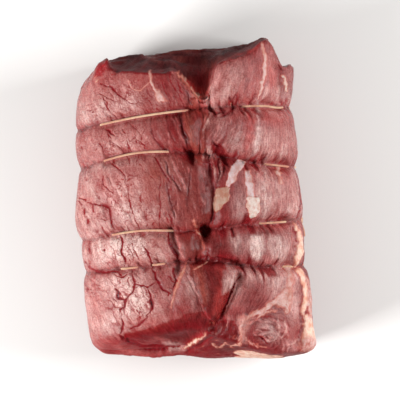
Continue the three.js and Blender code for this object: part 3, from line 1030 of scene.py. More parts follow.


# ---- Marks of the upper side, in steps of the plan ----

# Each bloom's haze is its pale dried skin and painted sheen.
FIELDS = (
    Bloom("far lobe, left", (124, 92), (52, 32), RED, 0.95, 0.21, 0.9, plates=0.3),
    Bloom("far lobe, under the rim", (146, 80), (30, 10), RED, 0.3, 0.14),
    Bloom("far lobe, shaded right", (146, 100), (13, 13), MUSCLE, 0.6, 0.08),
    Bloom("far lobe, lower left", (110, 102), (28, 15), RED, 0.2, 0.55),
    Bloom("far lobe, left edge", (88, 100), (9, 24), ROSE, 0.3, 0.4, 0.4),
    Bloom("far lobe, corner", (97, 76), (9, 12), BLOOD, 0.35, 0.16, 0.4),
    Bloom("far lobe, left of the opening", (170, 92), (15, 22), MUSCLE, 0.7, 0.06, 0.5, strands=0.7),
    Bloom("far lobe, dark bundle", (161, 82), (9, 11), MUSCLE, 0.8, 0.0),
    Bloom("far lobe, pale flank", (90, 117), (11, 9), ROSE, 0.2, 0.62),
    Bloom("by the vein's foot", (157, 99), (7, 12), RED, 0.2, 0.26),
    Bloom("fourth bay, left", (118, 142), (46, 18), RED, 0.95, 0.3, 0.9, plates=0.3),
    Bloom("fourth bay, pale crest", (110, 146), (24, 9), RED, 0.2, 0.5),
    Bloom("fourth bay, grooves", (172, 133), (14, 20), MUSCLE, 0.7, 0.03, strands=0.9),
    Bloom("third bay, left", (118, 195), (54, 36), RED, 0.95, 0.38, 0.95, plates=0.3, strands=0.15),
    Bloom("third bay, shaded top", (164, 166), (13, 7), BROWN, 0.8, 0.02),
    Bloom("third bay, top left", (124, 165), (18, 6), RED, 0.4, 0.38),
    Bloom("third bay, far left", (86, 200), (12, 36), RED, 0.4, 0.36, 0.5),
    Bloom("third bay, lower crest", (122, 216), (34, 12), RED, 0.2, 0.58),
    Bloom("third bay, pale left foot", (99, 215), (13, 10), RED, 0.2, 0.62),
    Bloom("third bay, brown bundles", (158, 185), (14, 32), BROWN, 0.5, 0.16, 0.6, strands=0.2),
    Bloom("third bay, dark top", (156, 173), (13, 10), BROWN, 0.8, 0.03),
    Bloom("second bay, left", (126, 250), (52, 20), RED, 0.95, 0.6, 0.85, plates=0.5),
    Bloom("second bay, pale end", (106, 249), (16, 11), ROSE, 0.4, 0.78, 0.7, plates=0.0),
    Bloom("second bay, pale middle", (133, 246), (12, 12), ROSE, 0.2, 0.95),
    Bloom("second bay, pale top", (98, 238), (8, 5), ROSE, 0.3, 0.8),
    Bloom("second bay, red foot", (130, 263), (18, 4), RED, 0.8, 0.08),
    Bloom("second bay, darker lobe", (156, 248), (14, 15), BROWN, 0.5, 0.28, strands=0.4),
    Bloom("near bay, left", (126, 300), (54, 34), RED, 0.95, 0.58, 0.9, plates=0.8),
    Bloom("near bay, under the string", (112, 270), (22, 6), BLOOD, 0.5, 0.25),
    Bloom("near bay, pale corner", (122, 285), (17, 9), ROSE, 0.4, 0.8),
    Bloom("near bay, pale lobe", (134, 300), (13, 12), ROSE, 0.3, 0.9, plates=0.4),
    Bloom("near bay, broken lumps", (159, 284), (17, 14), MUSCLE, 0.75, 0.1, plates=1.0, strands=0.4),
    Bloom("near bay, slope", (180, 310), (16, 12), MUSCLE, 0.5, 0.04, plates=0.4),
    Bloom("near bay, low slope", (151, 322), (18, 8), RED, 0.4, 0.14),
    Bloom("near bay, left flank", (94, 320), (15, 28), RED, 0.5, 0.3, 0.5, plates=0.2),
    Bloom("near bay, pale foot", (114, 322), (11, 9), ROSE, 0.2, 0.62),
    Bloom("near end, left corner", (104, 346), (30, 11), BLOOD, 0.6, 0.16),
    Bloom("near end, below", (168, 352), (52, 13), BLOOD, 0.8, 0.02, 0.5),
    Bloom("near end, ledge", (158, 342), (44, 7), BLOOD, 0.7, 0.08, 0.5, plates=0.4),
    Bloom("near end, low left", (116, 348), (18, 9), BLOOD, 0.5, 0.04, 0.5),
    Bloom("middle, far", (208, 112), (16, 16), BROWN, 0.5, 0.3, strands=0.6),
    Bloom("third bay, shaded foot", (163, 226), (10, 6), BROWN, 0.5, 0.06),
    Bloom("third bay, shaded crest", (188, 166), (9, 6), AGED, 0.7, 0.0),
    Bloom("third bay, far corner", (101, 166), (10, 6), ROSE, 0.3, 0.5),
    Bloom("fourth bay, shaded foot", (174, 131), (8, 12), MUSCLE, 0.8, 0.0),
    Bloom("right of the dome", (235, 251), (7, 8), MUSCLE, 0.7, 0.04),
    Bloom("middle strip", (197, 134), (12, 28), UMBER, 0.7, 0.0, 0.1, strands=0.0),
    Bloom("foot of the strip", (199, 154), (6, 7), RED, 0.7, 0.35),
    Bloom("dark middle", (214, 172), (18, 34), MUSCLE, 0.75, 0.03, 0.2, strands=1.0),
    Bloom("middle bundles", (188, 192), (18, 36), UMBER, 0.8, 0.02, 0.3, strands=0.4),
    Bloom("middle, near the second string", (204, 212), (12, 20), UMBER, 0.7, 0.0, strands=0.4),
    Bloom("right of the middle", (232, 136), (17, 16), MUSCLE, 0.3, 0.24, 0.6, strands=0.5),
    Bloom("far right lobe", (234, 84), (24, 24), RED, 0.6, 0.23, 0.4),
    Bloom("pale side of the far right lobe", (225, 89), (9, 10), RED, 0.3, 0.36),
    Bloom("red band left of the stripe", (254, 92), (6, 26), SCARLET, 0.4, 0.14, 0.7),
    Bloom("slab", (270, 74), (10, 30), SCARLET, 0.5, 0.16, 0.2),
    Bloom("second lobe", (287, 80), (6, 18), BLOOD, 0.4, 0.2, 0.3),
    Bloom("far right bay", (272, 142), (26, 16), RED, 0.85, 0.4, 0.1),
    Bloom("far right bay, under the string", (274, 117), (26, 8), SCARLET, 0.35, 0.12),
    Bloom("third bay, right", (272, 196), (26, 28), RED, 0.65, 0.3),
    Bloom("third bay, low right", (292, 213), (9, 7), ROSE, 0.3, 0.55),
    Bloom("third bay, top right", (268, 170), (22, 9), SCARLET, 0.3, 0.2),
    Bloom("third bay, silver line", (262, 192), (6, 22), RED, 0.2, 0.6),
    Bloom("third bay, right of the fat", (240, 206), (9, 14), MUSCLE, 0.4, 0.25),
    Bloom("second bay, right", (250, 243), (24, 13), MUSCLE, 0.4, 0.2),
    Bloom("second bay, right half", (278, 246), (14, 14), RED, 0.3, 0.28, 0.4),
    Bloom("second bay, right crest", (257, 246), (6, 14), RED, 0.2, 0.38, 0.4),
    Bloom("second bay, left crest", (232, 240), (5, 11), RED, 0.2, 0.25),
    Bloom("near bay, right", (250, 292), (20, 20), MUSCLE, 0.55, 0.06, strands=0.5),
    Bloom("near bay, far right", (277, 283), (13, 19), RED, 0.6, 0.5),
    Bloom("near bay, top right", (270, 273), (18, 7), RED, 0.5, 0.55),
    Bloom("middle, right of the opening", (212, 100), (10, 10), RED, 0.6, 0.3),
    Bloom("beside the fourth string", (250, 108), (16, 9), SCARLET, 0.4, 0.32),
    Bloom("right end of the far lobe", (282, 104), (13, 9), RED, 0.5, 0.52),
    Bloom("foot of the fat stripe", (268, 94), (10, 8), RED, 0.5, 0.42),
    Bloom("third bay, by the second string", (276, 226), (15, 4), SCARLET, 0.4, 0.18),
    Bloom("right of the folds", (245, 275), (10, 7), RED, 0.5, 0.36),
    Bloom("flap beside the cleft", (223, 300), (8, 12), SCARLET, 0.5, 0.1),
    Bloom("strand beside the cleft", (235, 297), (6, 11), RED, 0.5, 0.16),
    Bloom("right of the eye", (294, 308), (6, 10), ROSE, 0.4, 0.5),
    Bloom("corner of the near end", (294, 345), (8, 6), ROSE, 0.5, 0.3),
    Bloom("under the eye", (268, 347), (16, 4), WET, 0.7, 0.02),
    Bloom("foot of the middle bundle", (198, 225), (9, 6), BROWN, 0.8, 0.04),
    Bloom("second bay, right foot", (280, 260), (16, 5), RED, 0.6, 0.4),
    Bloom("second bay, far right", (294, 248), (6, 14), RED, 0.5, 0.4),
    Bloom("lower right of the fourth bay", (268, 153), (22, 6), RED, 0.5, 0.4),
    Bloom("folds by the first string", (228, 283), (12, 14), RED, 0.4, 0.5, strands=0.8),
    Bloom("left of the near flap", (191, 285), (6, 18), RED, 0.3, 0.45),
    Bloom("near flap", (214, 300), (9, 24), AGED, 0.95, 0.02, 0.0, strands=0.1),
    Bloom("tip of the near flap", (221, 310), (8, 8), SCARLET, 0.7, 0.05),
    Bloom("top of the near flap", (221, 264), (12, 6), RED, 0.5, 0.34),
    Bloom("swirl", (272, 328), (15, 14), MUSCLE, 0.6, 0.3, 0.2, marble=0.5, strands=0.1),
    Bloom("right of the swirl", (293, 300), (7, 26), RED, 0.6, 0.4, 0.4),
    Bloom("top of the rim's band", (294, 275), (5, 9), ROSE, 0.4, 0.62),
    Bloom("lobe beside the eye", (288, 332), (9, 12), RED, 0.7, 0.06, 0.5),
    Bloom("near middle", (224, 322), (20, 20), BLOOD, 0.5, 0.12, 0.0, marble=0.4, strands=0.7),
    Bloom("near end, low middle", (222, 350), (36, 12), WET, 0.9, 0.0, marble=0.5, strands=0.5),
    Bloom("near end, under the zigzag", (234, 348), (20, 5), AGED, 0.9, 0.0),
    Bloom("second bay, right of the flap", (216, 247), (12, 9), MUSCLE, 0.8, 0.0, strands=0.8),
    Bloom("second bay, dark dome", (220, 248), (13, 14), AGED, 0.85, 0.02, 0.1, strands=0.1),
    Bloom("right edge", (296, 206), (8, 34), SCARLET, 0.2, 0.4),
)

LEANS = (
    Lean("far right lobe", (236, 78), (36, 34), 0.3),
    Lean("slab", (272, 70), (10, 24), -0.6),
    Lean("right of the middle", (226, 136), (24, 22), 0.45),
    Lean("near flap", (212, 290), (18, 30), -0.3),
    Lean("right of the cleft", (244, 300), (22, 30), 0.42),
    Lean("low middle", (225, 336), (22, 14), 0.8),
)
SWIRL = (270.0, 333.0)  # steps, where the fibres of the near end's eye run in rings
SWIRL_REACH = 32.0  # steps

PUSHES = (
    Push("notch beside the slab", (53.5, 89, 52), (4.5, 9, 40), (-0.5, -6.0, 0)),
    Push("curl at the left corner", (-58.5, 80, 72), (5.0, 8, 13), (0, 4.5, 1.0)),
    Push("low lip of the near end", (8, -95, 24), (20, 9, 22), (0, -2.8, 0)),
    Push("point of the curl", (-53.6, 81, 74), (1.7, 6, 8), (0.6, 4.0, 1.5)),
)

PATCHES = (
    Patch("strip of the far middle", "192,99 201,97 208,106 208,116 203,130 204,148 202,165 196,158 "
          "188,140 184,115", 1.0, 1.4, BROWN, 0.95, haze=-0.7, crackle=-0.2),
    Patch("dark core of the strip", "192,114 203,112 204,126 201,146 196,142", 2.6, 0.0, MUSCLE, 0.75,
          haze=-1.0),
    Patch("pale fold below the opening", "196,101 206,98 214,99 217,106 212,112 203,109", 2.4, 0.3, ROSE, 0.6,
          haze=0.16),
    Patch("pale foot of the strip", "195,149 206,147 215,149 216,158 206,160 197,160", 2.0, 0.3, BROWN, 0.8,
          haze=0.4),
    Patch("flap of the second bay", "178,236 184,231 196,231 204,242 201,257 184,262", 1.0, 1.0, UMBER, 0.85,
          haze=-0.1),
    Patch("near flap", "190,264 205,260 222,262 233,274 231,290 223,312 214,323 204,309 197,292 189,276", 1.2,
          0.8, AGED, 0.7, haze=-0.42, crackle=-1.0),
    Patch("lit side of the near flap", "217,288 228,290 224,304 217,315 213,312", 2.4, 0.2, RED, 0.6,
          haze=0.22),
    Patch("smooth wedge at the near end", "128,337 140,333 156,330 176,323 200,315 208,322 198,333 183,342 "
          "161,341 140,340", 4.0, -0.8, AGED, 0.9, haze=-0.9, crackle=-1.0),
    Patch("wet chips of the ledge", "162,341 182,340 185,349 166,351", 1.6, 0.6, ROSE, 0.3, haze=0.4),
    Patch("low middle of the near end", "206,330 220,322 232,322 240,334 238,346 226,350 212,346", 2.0, -0.5,
          AGED, 0.75, haze=-1.0),
    Patch("white fat by the middle", "216,189 226,187 231,189 228,200 222,208 216,213 213,209 214,199", 0.5,
          0.7, FAT, 1.0, fat=1.0, haze=-1.0),
    Patch("silverskin above it", "231,166 237,160 246,161 241,170 236,180 229,188 226,186 228,177", 0.6, 0.4,
          SILVER, 0.85, fat=0.75),
    Patch("silverskin of the second strip", "245,172 250,170 253,185 255,198 247,198 246,185", 1.0, 0.2,
          SILVER, 0.8, fat=0.68),
    Patch("white fat of the second strip", "246,198 252,197 259,198 260,212 257,217 250,219 248,209", 0.5,
          0.6, WHITE, 1.0, fat=1.0, haze=-1.0),
    Patch("foot of a vein", "155,88 160,90 162,96 167,102 158,103 156,96", 0.9, 0.2, PALE, 0.9, fat=0.62),
    Patch("fat edge of the second bay", "293,222 297,226 303,238 304,252 299,263 294,266 297,252 299,241",
          1.3, 0.5, CREAM, 1.0, fat=0.9),
    Patch("fat edge of the near bay", "295,267 301,268 305,276 308,290 309,304 306,310 303,318 302,310 "
          "303,298 303,285 299,275", 1.2, 0.5, CREAM, 1.0, fat=0.85, haze=-1.0, lowest=36.0),
    Patch("wide fat of the near corner", "304,316 311,316 315,328 318,342 313,347 309,341 305,346 302,339 "
          "304,332", 1.6, 0.7, CREAM, 1.0, fat=0.85, haze=-1.0, lowest=36.0),
    Patch("pink fat of the near corner", "300,344 308,338 318,342 320,350 311,355 302,354", 3.2, 0.4, PALE,
          0.7, fat=0.46, haze=-0.3, lowest=36.0),
    Patch("fat above the near corner", "304,273 309,280 314,296 316,316 309,318 308,300 308,286", 1.4, 0.3,
          PALE, 1.0, fat=0.6, haze=-1.0, lowest=36.0),
    Patch("fat cloud above the eye", "290,285 291,300 288,308 280,307 270,304 278,296 284,290", 1.6, 0.5,
          PALE, 1.0, fat=0.6),
    Patch("fat cloud left of the eye", "237,317 246,314 253,316 250,326 245,336 247,343 241,342 239,331", 2.2,
          0.4, PINK, 0.5, fat=0.2, haze=0.3),
    Patch("fat under the near edge", "232,352 240,347 256,349 264,347 274,349 286,350 288,364 262,366 "
          "232,364", 2.0, 0.5, CREAM, 1.0, fat=0.62, spot=(39.0, 49.0, 15.0)),
    Patch("left pale band of the second bay", "231,238 239,236 240,244 236,248", 1.6, 0.3, haze=0.2),
    Patch("pale end of the second bay", "94,240 120,236 121,252 119,262 102,262", 1.6, 0.2, ROSE, 0.4,
          haze=0.15),
    Patch("middle pale band of the second bay", "250,235 262,235 264,250 258,261 251,257", 1.6, 0.5,
          haze=0.34),
    Patch("right pale band of the second bay", "269,235 282,237 286,248 280,260 272,258 267,246", 1.6, 0.4,
          haze=0.26),
    Patch("light border of the near flap", "190,265 202,268 207,285 209,300 203,304 196,288", 2.4, 0.5, BROWN,
          0.8, haze=0.2),
    Patch("silvery folds", "216,266 230,267 236,276 230,288 222,294 220,280", 3.4, 0.8, RED, 0.4, haze=0.25),
    Patch("hollow by the third string", "213,143 219,145 225,151 229,157 215,156 210,150", 1.4, -0.7, AGED,
          0.6, haze=-0.3),
    Patch("red under the left rim", "104,62 125,62 150,64 170,68 170,74 150,74 125,73 108,70", 1.0, 0.0,
          DRIED, 0.8, haze=-0.5),
    Patch("curl at the left corner", "97,62 104,58 109,60 107,68 101,76 94,76", 1.2, 0.6, BLOOD, 0.7,
          haze=-0.2),
    Patch("inside of the opening", "190,70 203,68 209,72 205,84 200,88 194,80", 2.4, 0.0, WET, 0.7),
    Patch("skin by the opening", "213,72 219,66 221,80 213,94 208,94", 1.6, 0.0, ROSE, 0.5, haze=0.2),
    # The opening's wall is red, painted brighter as light because it lies in shade.
    Patch("red wall of the opening", "185,76 191,80 198,87 203,91 204,96 199,96 191,89 184,80", 1.4, 0.0,
          SCARLET, 0.9),
    # The pits are painted black as shade.
    Patch("pit under the second string", "203,230 209,229 208,232 205,238 203,234", 0.4, -1.3, BLACK, 1.0,
          haze=-1.0),
    Patch("pit under the middle strip", "186,151 194,152 194,165 190,163", 0.6, -0.8, BLACK, 0.85, haze=-1.0),
)

MARKS = (
    # Far bay, left of the opening.
    Mark("bent crack", "100,84 106,86 112,88 117,94 126,101", 0.55, -0.5, BLOOD),
    Mark("crack below it", "92,90 102,95 111,100 117,102", 0.45, -0.3, BLOOD, 0.5),
    Mark("net crack", "126,101 133,104 139,102", 0.35, -0.2, BLOOD, 0.35),
    Mark("bundle border by the rim", "160,78 165,90 171,104", 0.5, -0.5, BLOOD, 0.6),
    Mark("second bundle border", "176,78 181,90 186,98", 0.5, -0.5, BLOOD, 0.6),
    Mark("crack at the corner", "84,108 92,112 98,119", 0.5, -0.5, BLOOD, 0.6),
    Mark("crack by the string", "104,102 108,108 110,114", 0.5, -0.3, BLOOD, 0.5),
    Mark("net vein", "128,79 132,88 141,90 149,83", 0.5, 0.15, PALE, 0.5, fat=0.5, level=True),
    Mark("pale vein", "150,72 151,77 152,84 157,92", 0.8, 0.2, PALE, 0.9, fat=0.8, level=True),
    Mark("vein of the curl", "94,76 97,82 99,88", 0.6, 0.2, VEIN, 0.8, fat=0.75),
    Mark("line from the rim", "169,72 172,84 177,92 183,103 184,110", 0.6, -0.6, BLOOD, 0.7),
    Mark("fat edge of the opening", "178,72 183,78 190,87 196,94 200,97", 0.5, 0.4, VEIN, fat=1.0,
         level=True),
    Mark("orange border of the opening", "176,73 182,80 188,88 195,96 201,99 203,96", 0.8, 0.2, RIM, 0.9,
         level=True),
    Mark("edge of the opening", "168,69 176,73 183,78", 0.6, 0.4, ROSE, 0.7),
    Mark("crease below the opening", "184,88 189,98 192,109", 0.7, -0.9, AGED, 0.7),
    Mark("rim of the far face, left", "106,69 125,72 150,73 169,70", 0.8, 0.2, BLOOD, 0.5),
    # Far bay, right of the opening.
    Mark("red edge of the opening", "202,96 207,84 212,72 217,64", 1.0, 0.2, BLOOD, 0.5, level=True),
    Mark("red edge of the slab", "219,64 232,58 246,52 258,45", 1.3, 0.3, SCARLET, 0.6, level=True),
    Mark("fat stripe", "262,42 264,51 265,64 264,75 261,88 258,99", 1.2, 0.35, PALE, 0.95, fat=0.9),
    Mark("fat stripe's far end", "258,100 258,112 259,130 256,148 254,154", 1.3, 0.2, SILVER, 0.5, haze=0.3,
         level=True),
    # Painted shade in dark red along the step of the slab's border.
    Mark("border of the slab", "267,41 273,47 276,56 279,68 279,79 279,96", 0.8, 2.0, AGED, 0.6,
         profile=Profile.LIP, fade=4.0, level=True),
    Mark("gap of the second lobe", "279,60 280,66 279,73", 0.8, -1.6, WET, 0.85),
    Mark("fat of the second lobe", "281,74 285,80 287,92", 0.7, 0.3, WHITE, 0.8, fat=1.0),
    Mark("edge of the second lobe", "286,61 293,64 295,74 293,88", 0.9, 0.5, BLOOD, 0.6),
    Mark("cleft by the fourth string", "236,94 233,100 231,108", 0.8, -1.0, AGED, 0.8),
    Mark("fat in the cleft", "230,103 232,107", 0.5, 0.2, FAT, 0.9, fat=0.6),
    Mark("pale point below the opening", "213,104 212,111 209,118", 0.8, 0.6, ROSE, 0.7, haze=0.1),
    Mark("right border of the point", "209,117 206,125 202,131", 0.6, 0.5, PINK, 0.6),
    Mark("left border of the strip, light", "183,113 187,126 192,143 199,158", 1.4, 0.9, BROWN, 0.6),
    Mark("light bundle left of the strip", "174,112 178,127 184,143", 0.6, 0.5, ROSE, 0.5),
    Mark("dark gap left of the strip", "179,114 182,126 188,140 193,152", 0.7, -1.0, AGED, 0.8),
    Mark("fold by the fourth string", "204,106 216,112 226,109", 1.0, -1.2, AGED, 0.6),
    Mark("second fold by it", "218,117 227,112 234,104", 1.2, -1.0, AGED, 0.5),
    Mark("third fold by it", "229,97 232,106 231,116", 1.0, -0.9, AGED, 0.5),
    Mark("left edge of the flap", "174,230 178,238 180,250 185,262", 0.7, 0.8, ROSE, 0.7),
    Mark("right edge of the flap", "200,236 204,245 202,256", 0.8, 0.6, RIM, 0.7),
    # Fourth bay.
    Mark("mouth by the fourth string", "105,130 109,131 114,136", 0.9, -1.0, BLOOD, 0.85),
    Mark("crack across the fourth bay", "128,122 137,131 143,139", 0.45, -0.5, BLOOD, 0.55),
    Mark("crack by the third string", "96,140 102,147 104,156", 0.5, -0.5, BLOOD, 0.6),
    Mark("crack in the fourth bay", "110,142 118,147 124,153", 0.4, -0.4, BLOOD, 0.5),
    Mark("long line of the fourth bay", "150,124 155,140 165,151", 0.6, -0.7, AGED, 0.65),
    Mark("third line", "166,122 171,134 178,146", 0.5, -0.6, AGED, 0.55),
    Mark("left border of the strip", "181,118 184,137 191,152 195,160", 0.6, -0.8, AGED, 0.6),
    Mark("right border of the strip", "208,112 204,126 206,144 203,160", 0.8, 0.3, BROWN, 0.4,
         profile=Profile.LIP, fade=3.0),
    # A dark groove, painted shade.
    Mark("dark line of the right grain", "212,139 216,147 222,152", 0.9, -1.2, DARK, 0.7),
    Mark("red under the fat stripe", "248,104 251,125 247,146", 2.6, -0.1, SCARLET, 0.4, level=True),
    # Third bay.
    Mark("crack from the third string", "103,174 104,184 109,190 115,193", 0.5, -0.5, BLOOD, 0.7),
    Mark("long crack at the left", "76,195 84,200 89,203 96,205 108,208 110,217 113,225 116,231", 0.7, -0.7,
         BLOOD, 0.9),
    Mark("crack at the left edge", "79,201 86,215 91,229", 0.8, -0.7, BLOOD, 0.8),
    Mark("crack from the crest", "109,161 117,168 122,172 126,179", 0.6, -0.6, BLOOD, 0.8),
    Mark("shallow crack", "126,179 129,197 133,214 140,229", 0.5, -0.5, BLOOD, 0.7),
    Mark("low line of the third bay", "165,212 168,221 173,231", 0.5, -0.5, BLOOD, 0.7),
    Mark("upright line", "160,174 160,196 160,214 160,230", 0.5, -0.5, BLOOD, 0.7),
    Mark("border of the middle bundle", "153,156 160,167 167,177 173,184", 0.8, -1.2, WET, 0.8),
    # A dark bundle line, painted shade.
    Mark("bundle line", "165,160 168,171 174,181 180,192", 0.8, -1.3, DARK, 0.6),
    Mark("light edge of the bundle", "169,153 175,166 182,179 186,194", 0.8, 0.9, ROSE, 0.5, haze=0.06),
    Mark("line below the strip's pit", "191,165 189,182 187,198 188,212", 0.7, -0.9, AGED, 0.8),
    Mark("groove of the brown bundles", "166,178 169,195 173,210 175,225", 0.7, -1.1, AGED, 0.8),
    Mark("groove at their foot", "168,214 171,220 174,227", 0.7, -1.0, WET, 0.9),
    # The dark grooves and seams below, and the black crevice, are painted shade.
    Mark("first groove of the dark grain", "209,155 210,170 211,187", 0.7, -1.3, DARK, 0.8),
    Mark("second groove of it", "205,172 206,182 206,192", 0.6, -1.0, DARK, 0.7),
    Mark("third groove of it", "225,157 224,167 221,178", 0.7, -1.2, DARK, 0.8),
    Mark("first light thread", "213,157 214,170 214,184", 0.5, 0.6, PINK, 0.5, haze=0.1),
    Mark("second light thread", "221,158 221,168 219,180", 0.5, 0.6, PINK, 0.5, haze=0.1),
    Mark("middle seam", "205,158 212,175 214,195 212,212", 1.0, -1.2, DARK, 0.7),
    Mark("seam beside it", "218,157 219,170 218,184", 0.8, -1.2, DARK, 0.7),
    Mark("crevice to the pit", "213,207 212,219 208,229", 0.9, -1.8, BLACK, 0.9),
    Mark("fat line at the right", "277,165 279,173 282,184", 0.75, 0.2, PALE, 0.9, fat=0.9, level=True),
    Mark("red line at the right edge", "297,172 299,188 300,208 296,219", 1.2, -0.5, BLOOD, 0.6),
    # Second bay.
    Mark("deep crack", "121,237 123,245 122,252 125,260 125,266", 0.85, -1.0, BLOOD),
    Mark("second deep crack", "143,245 149,253 152,263 153,268", 0.9, -1.1, WET),
    Mark("crack between them", "131,238 134,250 141,262", 0.5, -0.5, BLOOD, 0.6),
    Mark("dark gap", "168,231 170,241 176,254 179,262", 1.2, -1.6, WET),
    Mark("cream flap", "195,229 198,232 201,236", 0.8, 0.6, FAT, 0.9, fat=0.6),
    Mark("pale point of the middle bundle", "193,217 195,222 198,228", 0.9, 0.5, VEIN, 0.8, fat=0.5),
    # The black crease is painted shade.
    Mark("crease under the flap", "197,259 206,258 221,260 234,265", 0.9, -1.4, BLACK, 0.85),
    Mark("slit at the right", "289,222 294,230 296,240 293,250", 0.9, -1.4, BLOOD, 0.9),
    Mark("left crack", "88,244 91,254 90,264", 0.7, -0.6, BLOOD, 0.8),
    # Near bay.
    Mark("crack of the pale lobes", "132,275 135,282 133,289 129,297 125,305", 0.7, -0.9, BLOOD),
    Mark("crack right of them", "146,286 150,295 152,303 151,310 146,316", 0.8, -1.0, BLOOD),
    Mark("red opening", "115,289 119,293 118,298 124,301", 1.4, -1.0, BLOOD),
    Mark("second red opening", "128,298 125,303 124,309", 0.9, -0.8, BLOOD),
    Mark("third red opening", "150,297 152,304 152,310", 1.3, -1.1, WET),
    Mark("crack to the wedge", "149,315 144,320 137,325 130,328", 0.6, -0.7, BLOOD, 0.95),
    Mark("crack of the corner lobe", "97,300 101,309 99,320", 0.5, -0.4, BLOOD, 0.7),
    Mark("branch of the crack", "125,305 120,309 119,314", 0.5, -0.5, BLOOD, 0.9),
    Mark("crack along the first string", "84,260 91,268 104,272 120,271", 0.9, -0.8, BLOOD, 0.9),
    Mark("crack under the first string", "112,274 122,277 131,274", 0.6, -0.6, BLOOD, 0.8),
    Mark("crack in the broken lumps", "152,268 154,274 157,281 162,288 170,294", 1.0, -1.2, WET),
    Mark("low crack in the lumps", "134,283 141,285 147,287 155,283", 0.8, -0.9, WET, 0.9),
    Mark("red slit", "122,318 123,324 121,334", 0.75, -0.8, BLOOD),
    Mark("crack from the first string", "173,266 174,273 176,281 173,287", 0.8, -0.9, WET, 0.9),
    Mark("pale ridge", "187,262 182,274 175,290 170,309", 1.0, 0.9, VEIN, 0.85, fat=0.6),
    Mark("thin pale line", "192,270 200,266 209,260", 0.6, 0.2, VEIN, 0.8, fat=0.6),
    # Painted shade in dark red along the step of the flap's border.
    Mark("left border of the near flap", "214,323 203,307 198,293 189,277", 0.7, 1.4, AGED, 0.6,
         profile=Profile.LIP, fade=4.0),
    Mark("tip of the near flap", "203,309 208,317 214,322", 1.3, 0.4, BLOOD, 0.8),
    Mark("cleft", "240,276 233,288 226,306 220,320 213,329", 0.8, -1.0, WET),
    Mark("strand in the cleft", "238,282 231,298 224,314", 1.1, 1.8, SCARLET, 0.7),
    Mark("lit edge of the cleft", "243,282 236,296 228,313", 0.6, 0.6, ROSE, 0.4, haze=0.1),
    Mark("crease of the ledge", "119,335 126,341 136,343 144,347 161,348 180,346", 1.2, -2.2, WET, 0.95),
    Mark("lip under the ledge", "108,341 126,351 142,354 164,353 182,353", 2.0, 1.6, SCARLET, 0.5, haze=0.08),
    Mark("hole of the ledge", "121,337 127,342 134,344", 1.2, -1.6, WET),
    Mark("hole by the ridge", "148,348 160,349 172,347", 0.9, -1.4, WET),
    Mark("crumbs of the ledge", "146,342 158,340 176,343", 1.4, 0.9, ROSE, 0.5, haze=0.2),
    Mark("crease under the wedge", "150,342 165,341 182,343", 0.6, -0.8, AGED, 0.7),
    Mark("ridge of the near end", "181,348 194,342 204,335 213,331", 2.0, 1.8, BLOOD, 0.7),
    Mark("fat tip of the ridge", "180,348 187,346 198,340 206,335", 0.95, 0.5, CREAM, 0.7, fat=0.7),
    Mark("slit under the ridge", "186,350 200,344 214,336", 0.7, -1.2, BLOOD, 0.8),
    Mark("fat zigzag", "213,344 218,347 222,346 226,343 231,346 236,345 240,344 242,338", 0.6, 0.3, VEIN, 0.8,
         fat=0.75, level=True),
    Mark("vein over the swirl", "242,326 246,319 253,314 262,311 269,307 277,302", 1.5, 0.5, PALE, 0.8,
         fat=0.7),
    Mark("vein under the swirl", "244,336 248,341 256,345 266,347", 0.9, 0.3, PALE, 0.6, fat=0.4),
    Mark("vein left of the swirl", "238,343 241,335 241,326 247,319", 1.2, 0.4, PALE, 0.6, fat=0.6),
    Mark("curl in the swirl", "258,336 263,339 267,343", 1.0, -1.2, WET),
    Mark("light curl", "255,334 261,336 266,340", 0.9, 0.9, SCARLET, 0.7),
    Mark("arc over the eye", "256,321 261,315 269,312 278,311", 0.9, 0.4, PALE, 0.7, fat=0.5),
    Mark("ring of the eye", "284,321 286,330 281,339", 0.6, 0.5, PINK, 0.7, haze=0.1),
    Mark("second ring", "277,319 280,329 276,338 270,342", 0.5, 0.4, PINK, 0.6, haze=0.1),
    Mark("border of the eye's lobe", "299,322 301,332 297,341 288,345", 0.8, 0.5, PINK, 0.6),
    Mark("fat branch", "287,267 290,275 290,286 286,293 278,299 269,305", 1.7, 0.4, PALE, 0.9, fat=0.8,
         level=True),
    Mark("right branch", "290,286 290,297 288,305 287,313", 1.3, 0.3, PALE, 0.8, fat=0.8, level=True),
    Mark("near slit", "300,314 302,324 300,334 297,343", 1.0, -0.9, BLOOD),
)


# ---- The meat ----


def select_only(piece: bpy.types.Object) -> None:
    """Makes a piece the only one selected, and the active one."""
    bpy.ops.object.select_all(action="DESELECT")
    piece.select_set(True)
    bpy.context.view_layer.objects.active = piece


def finish_piece(piece: bpy.types.Object, materials: list[bpy.types.Material], node: str) -> None:
    """Dresses a piece, lets it ride on the joint and puts it in a node's place.

    Args:
        piece: The finished piece.
        materials: Its materials, in the order of its faces' numbers.
        node: The solid that the piece stands for.
    """
    for material in materials:
        piece.data.materials.append(material)
    select_only(piece)
    bpy.ops.object.shade_smooth()
    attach(piece, "root")
    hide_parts(node)
    LOG.info("%s: %d faces", piece.name, len(piece.data.polygons))


def places_of(mesh: bpy.types.Mesh) -> Array:
    """A mesh's points in mm, one row each."""
    flat = np.empty(3 * len(mesh.vertices))
    mesh.vertices.foreach_get("co", flat)
    return flat.reshape(-1, 3) / MM


def move_points(mesh: bpy.types.Mesh, places: Array) -> None:
    """Puts a mesh's points at places given in mm."""
    mesh.vertices.foreach_set("co", (places * MM).ravel())
    mesh.update()


def directions_of(mesh: bpy.types.Mesh) -> Array:
    """A mesh's outward direction at each point."""
    flat = np.empty(3 * len(mesh.vertices))
    mesh.vertex_normals.foreach_get("vector", flat)
    return flat.reshape(-1, 3)


KINDS = {"FLOAT_COLOR": "color", "FLOAT_VECTOR": "vector", "FLOAT": "value"}


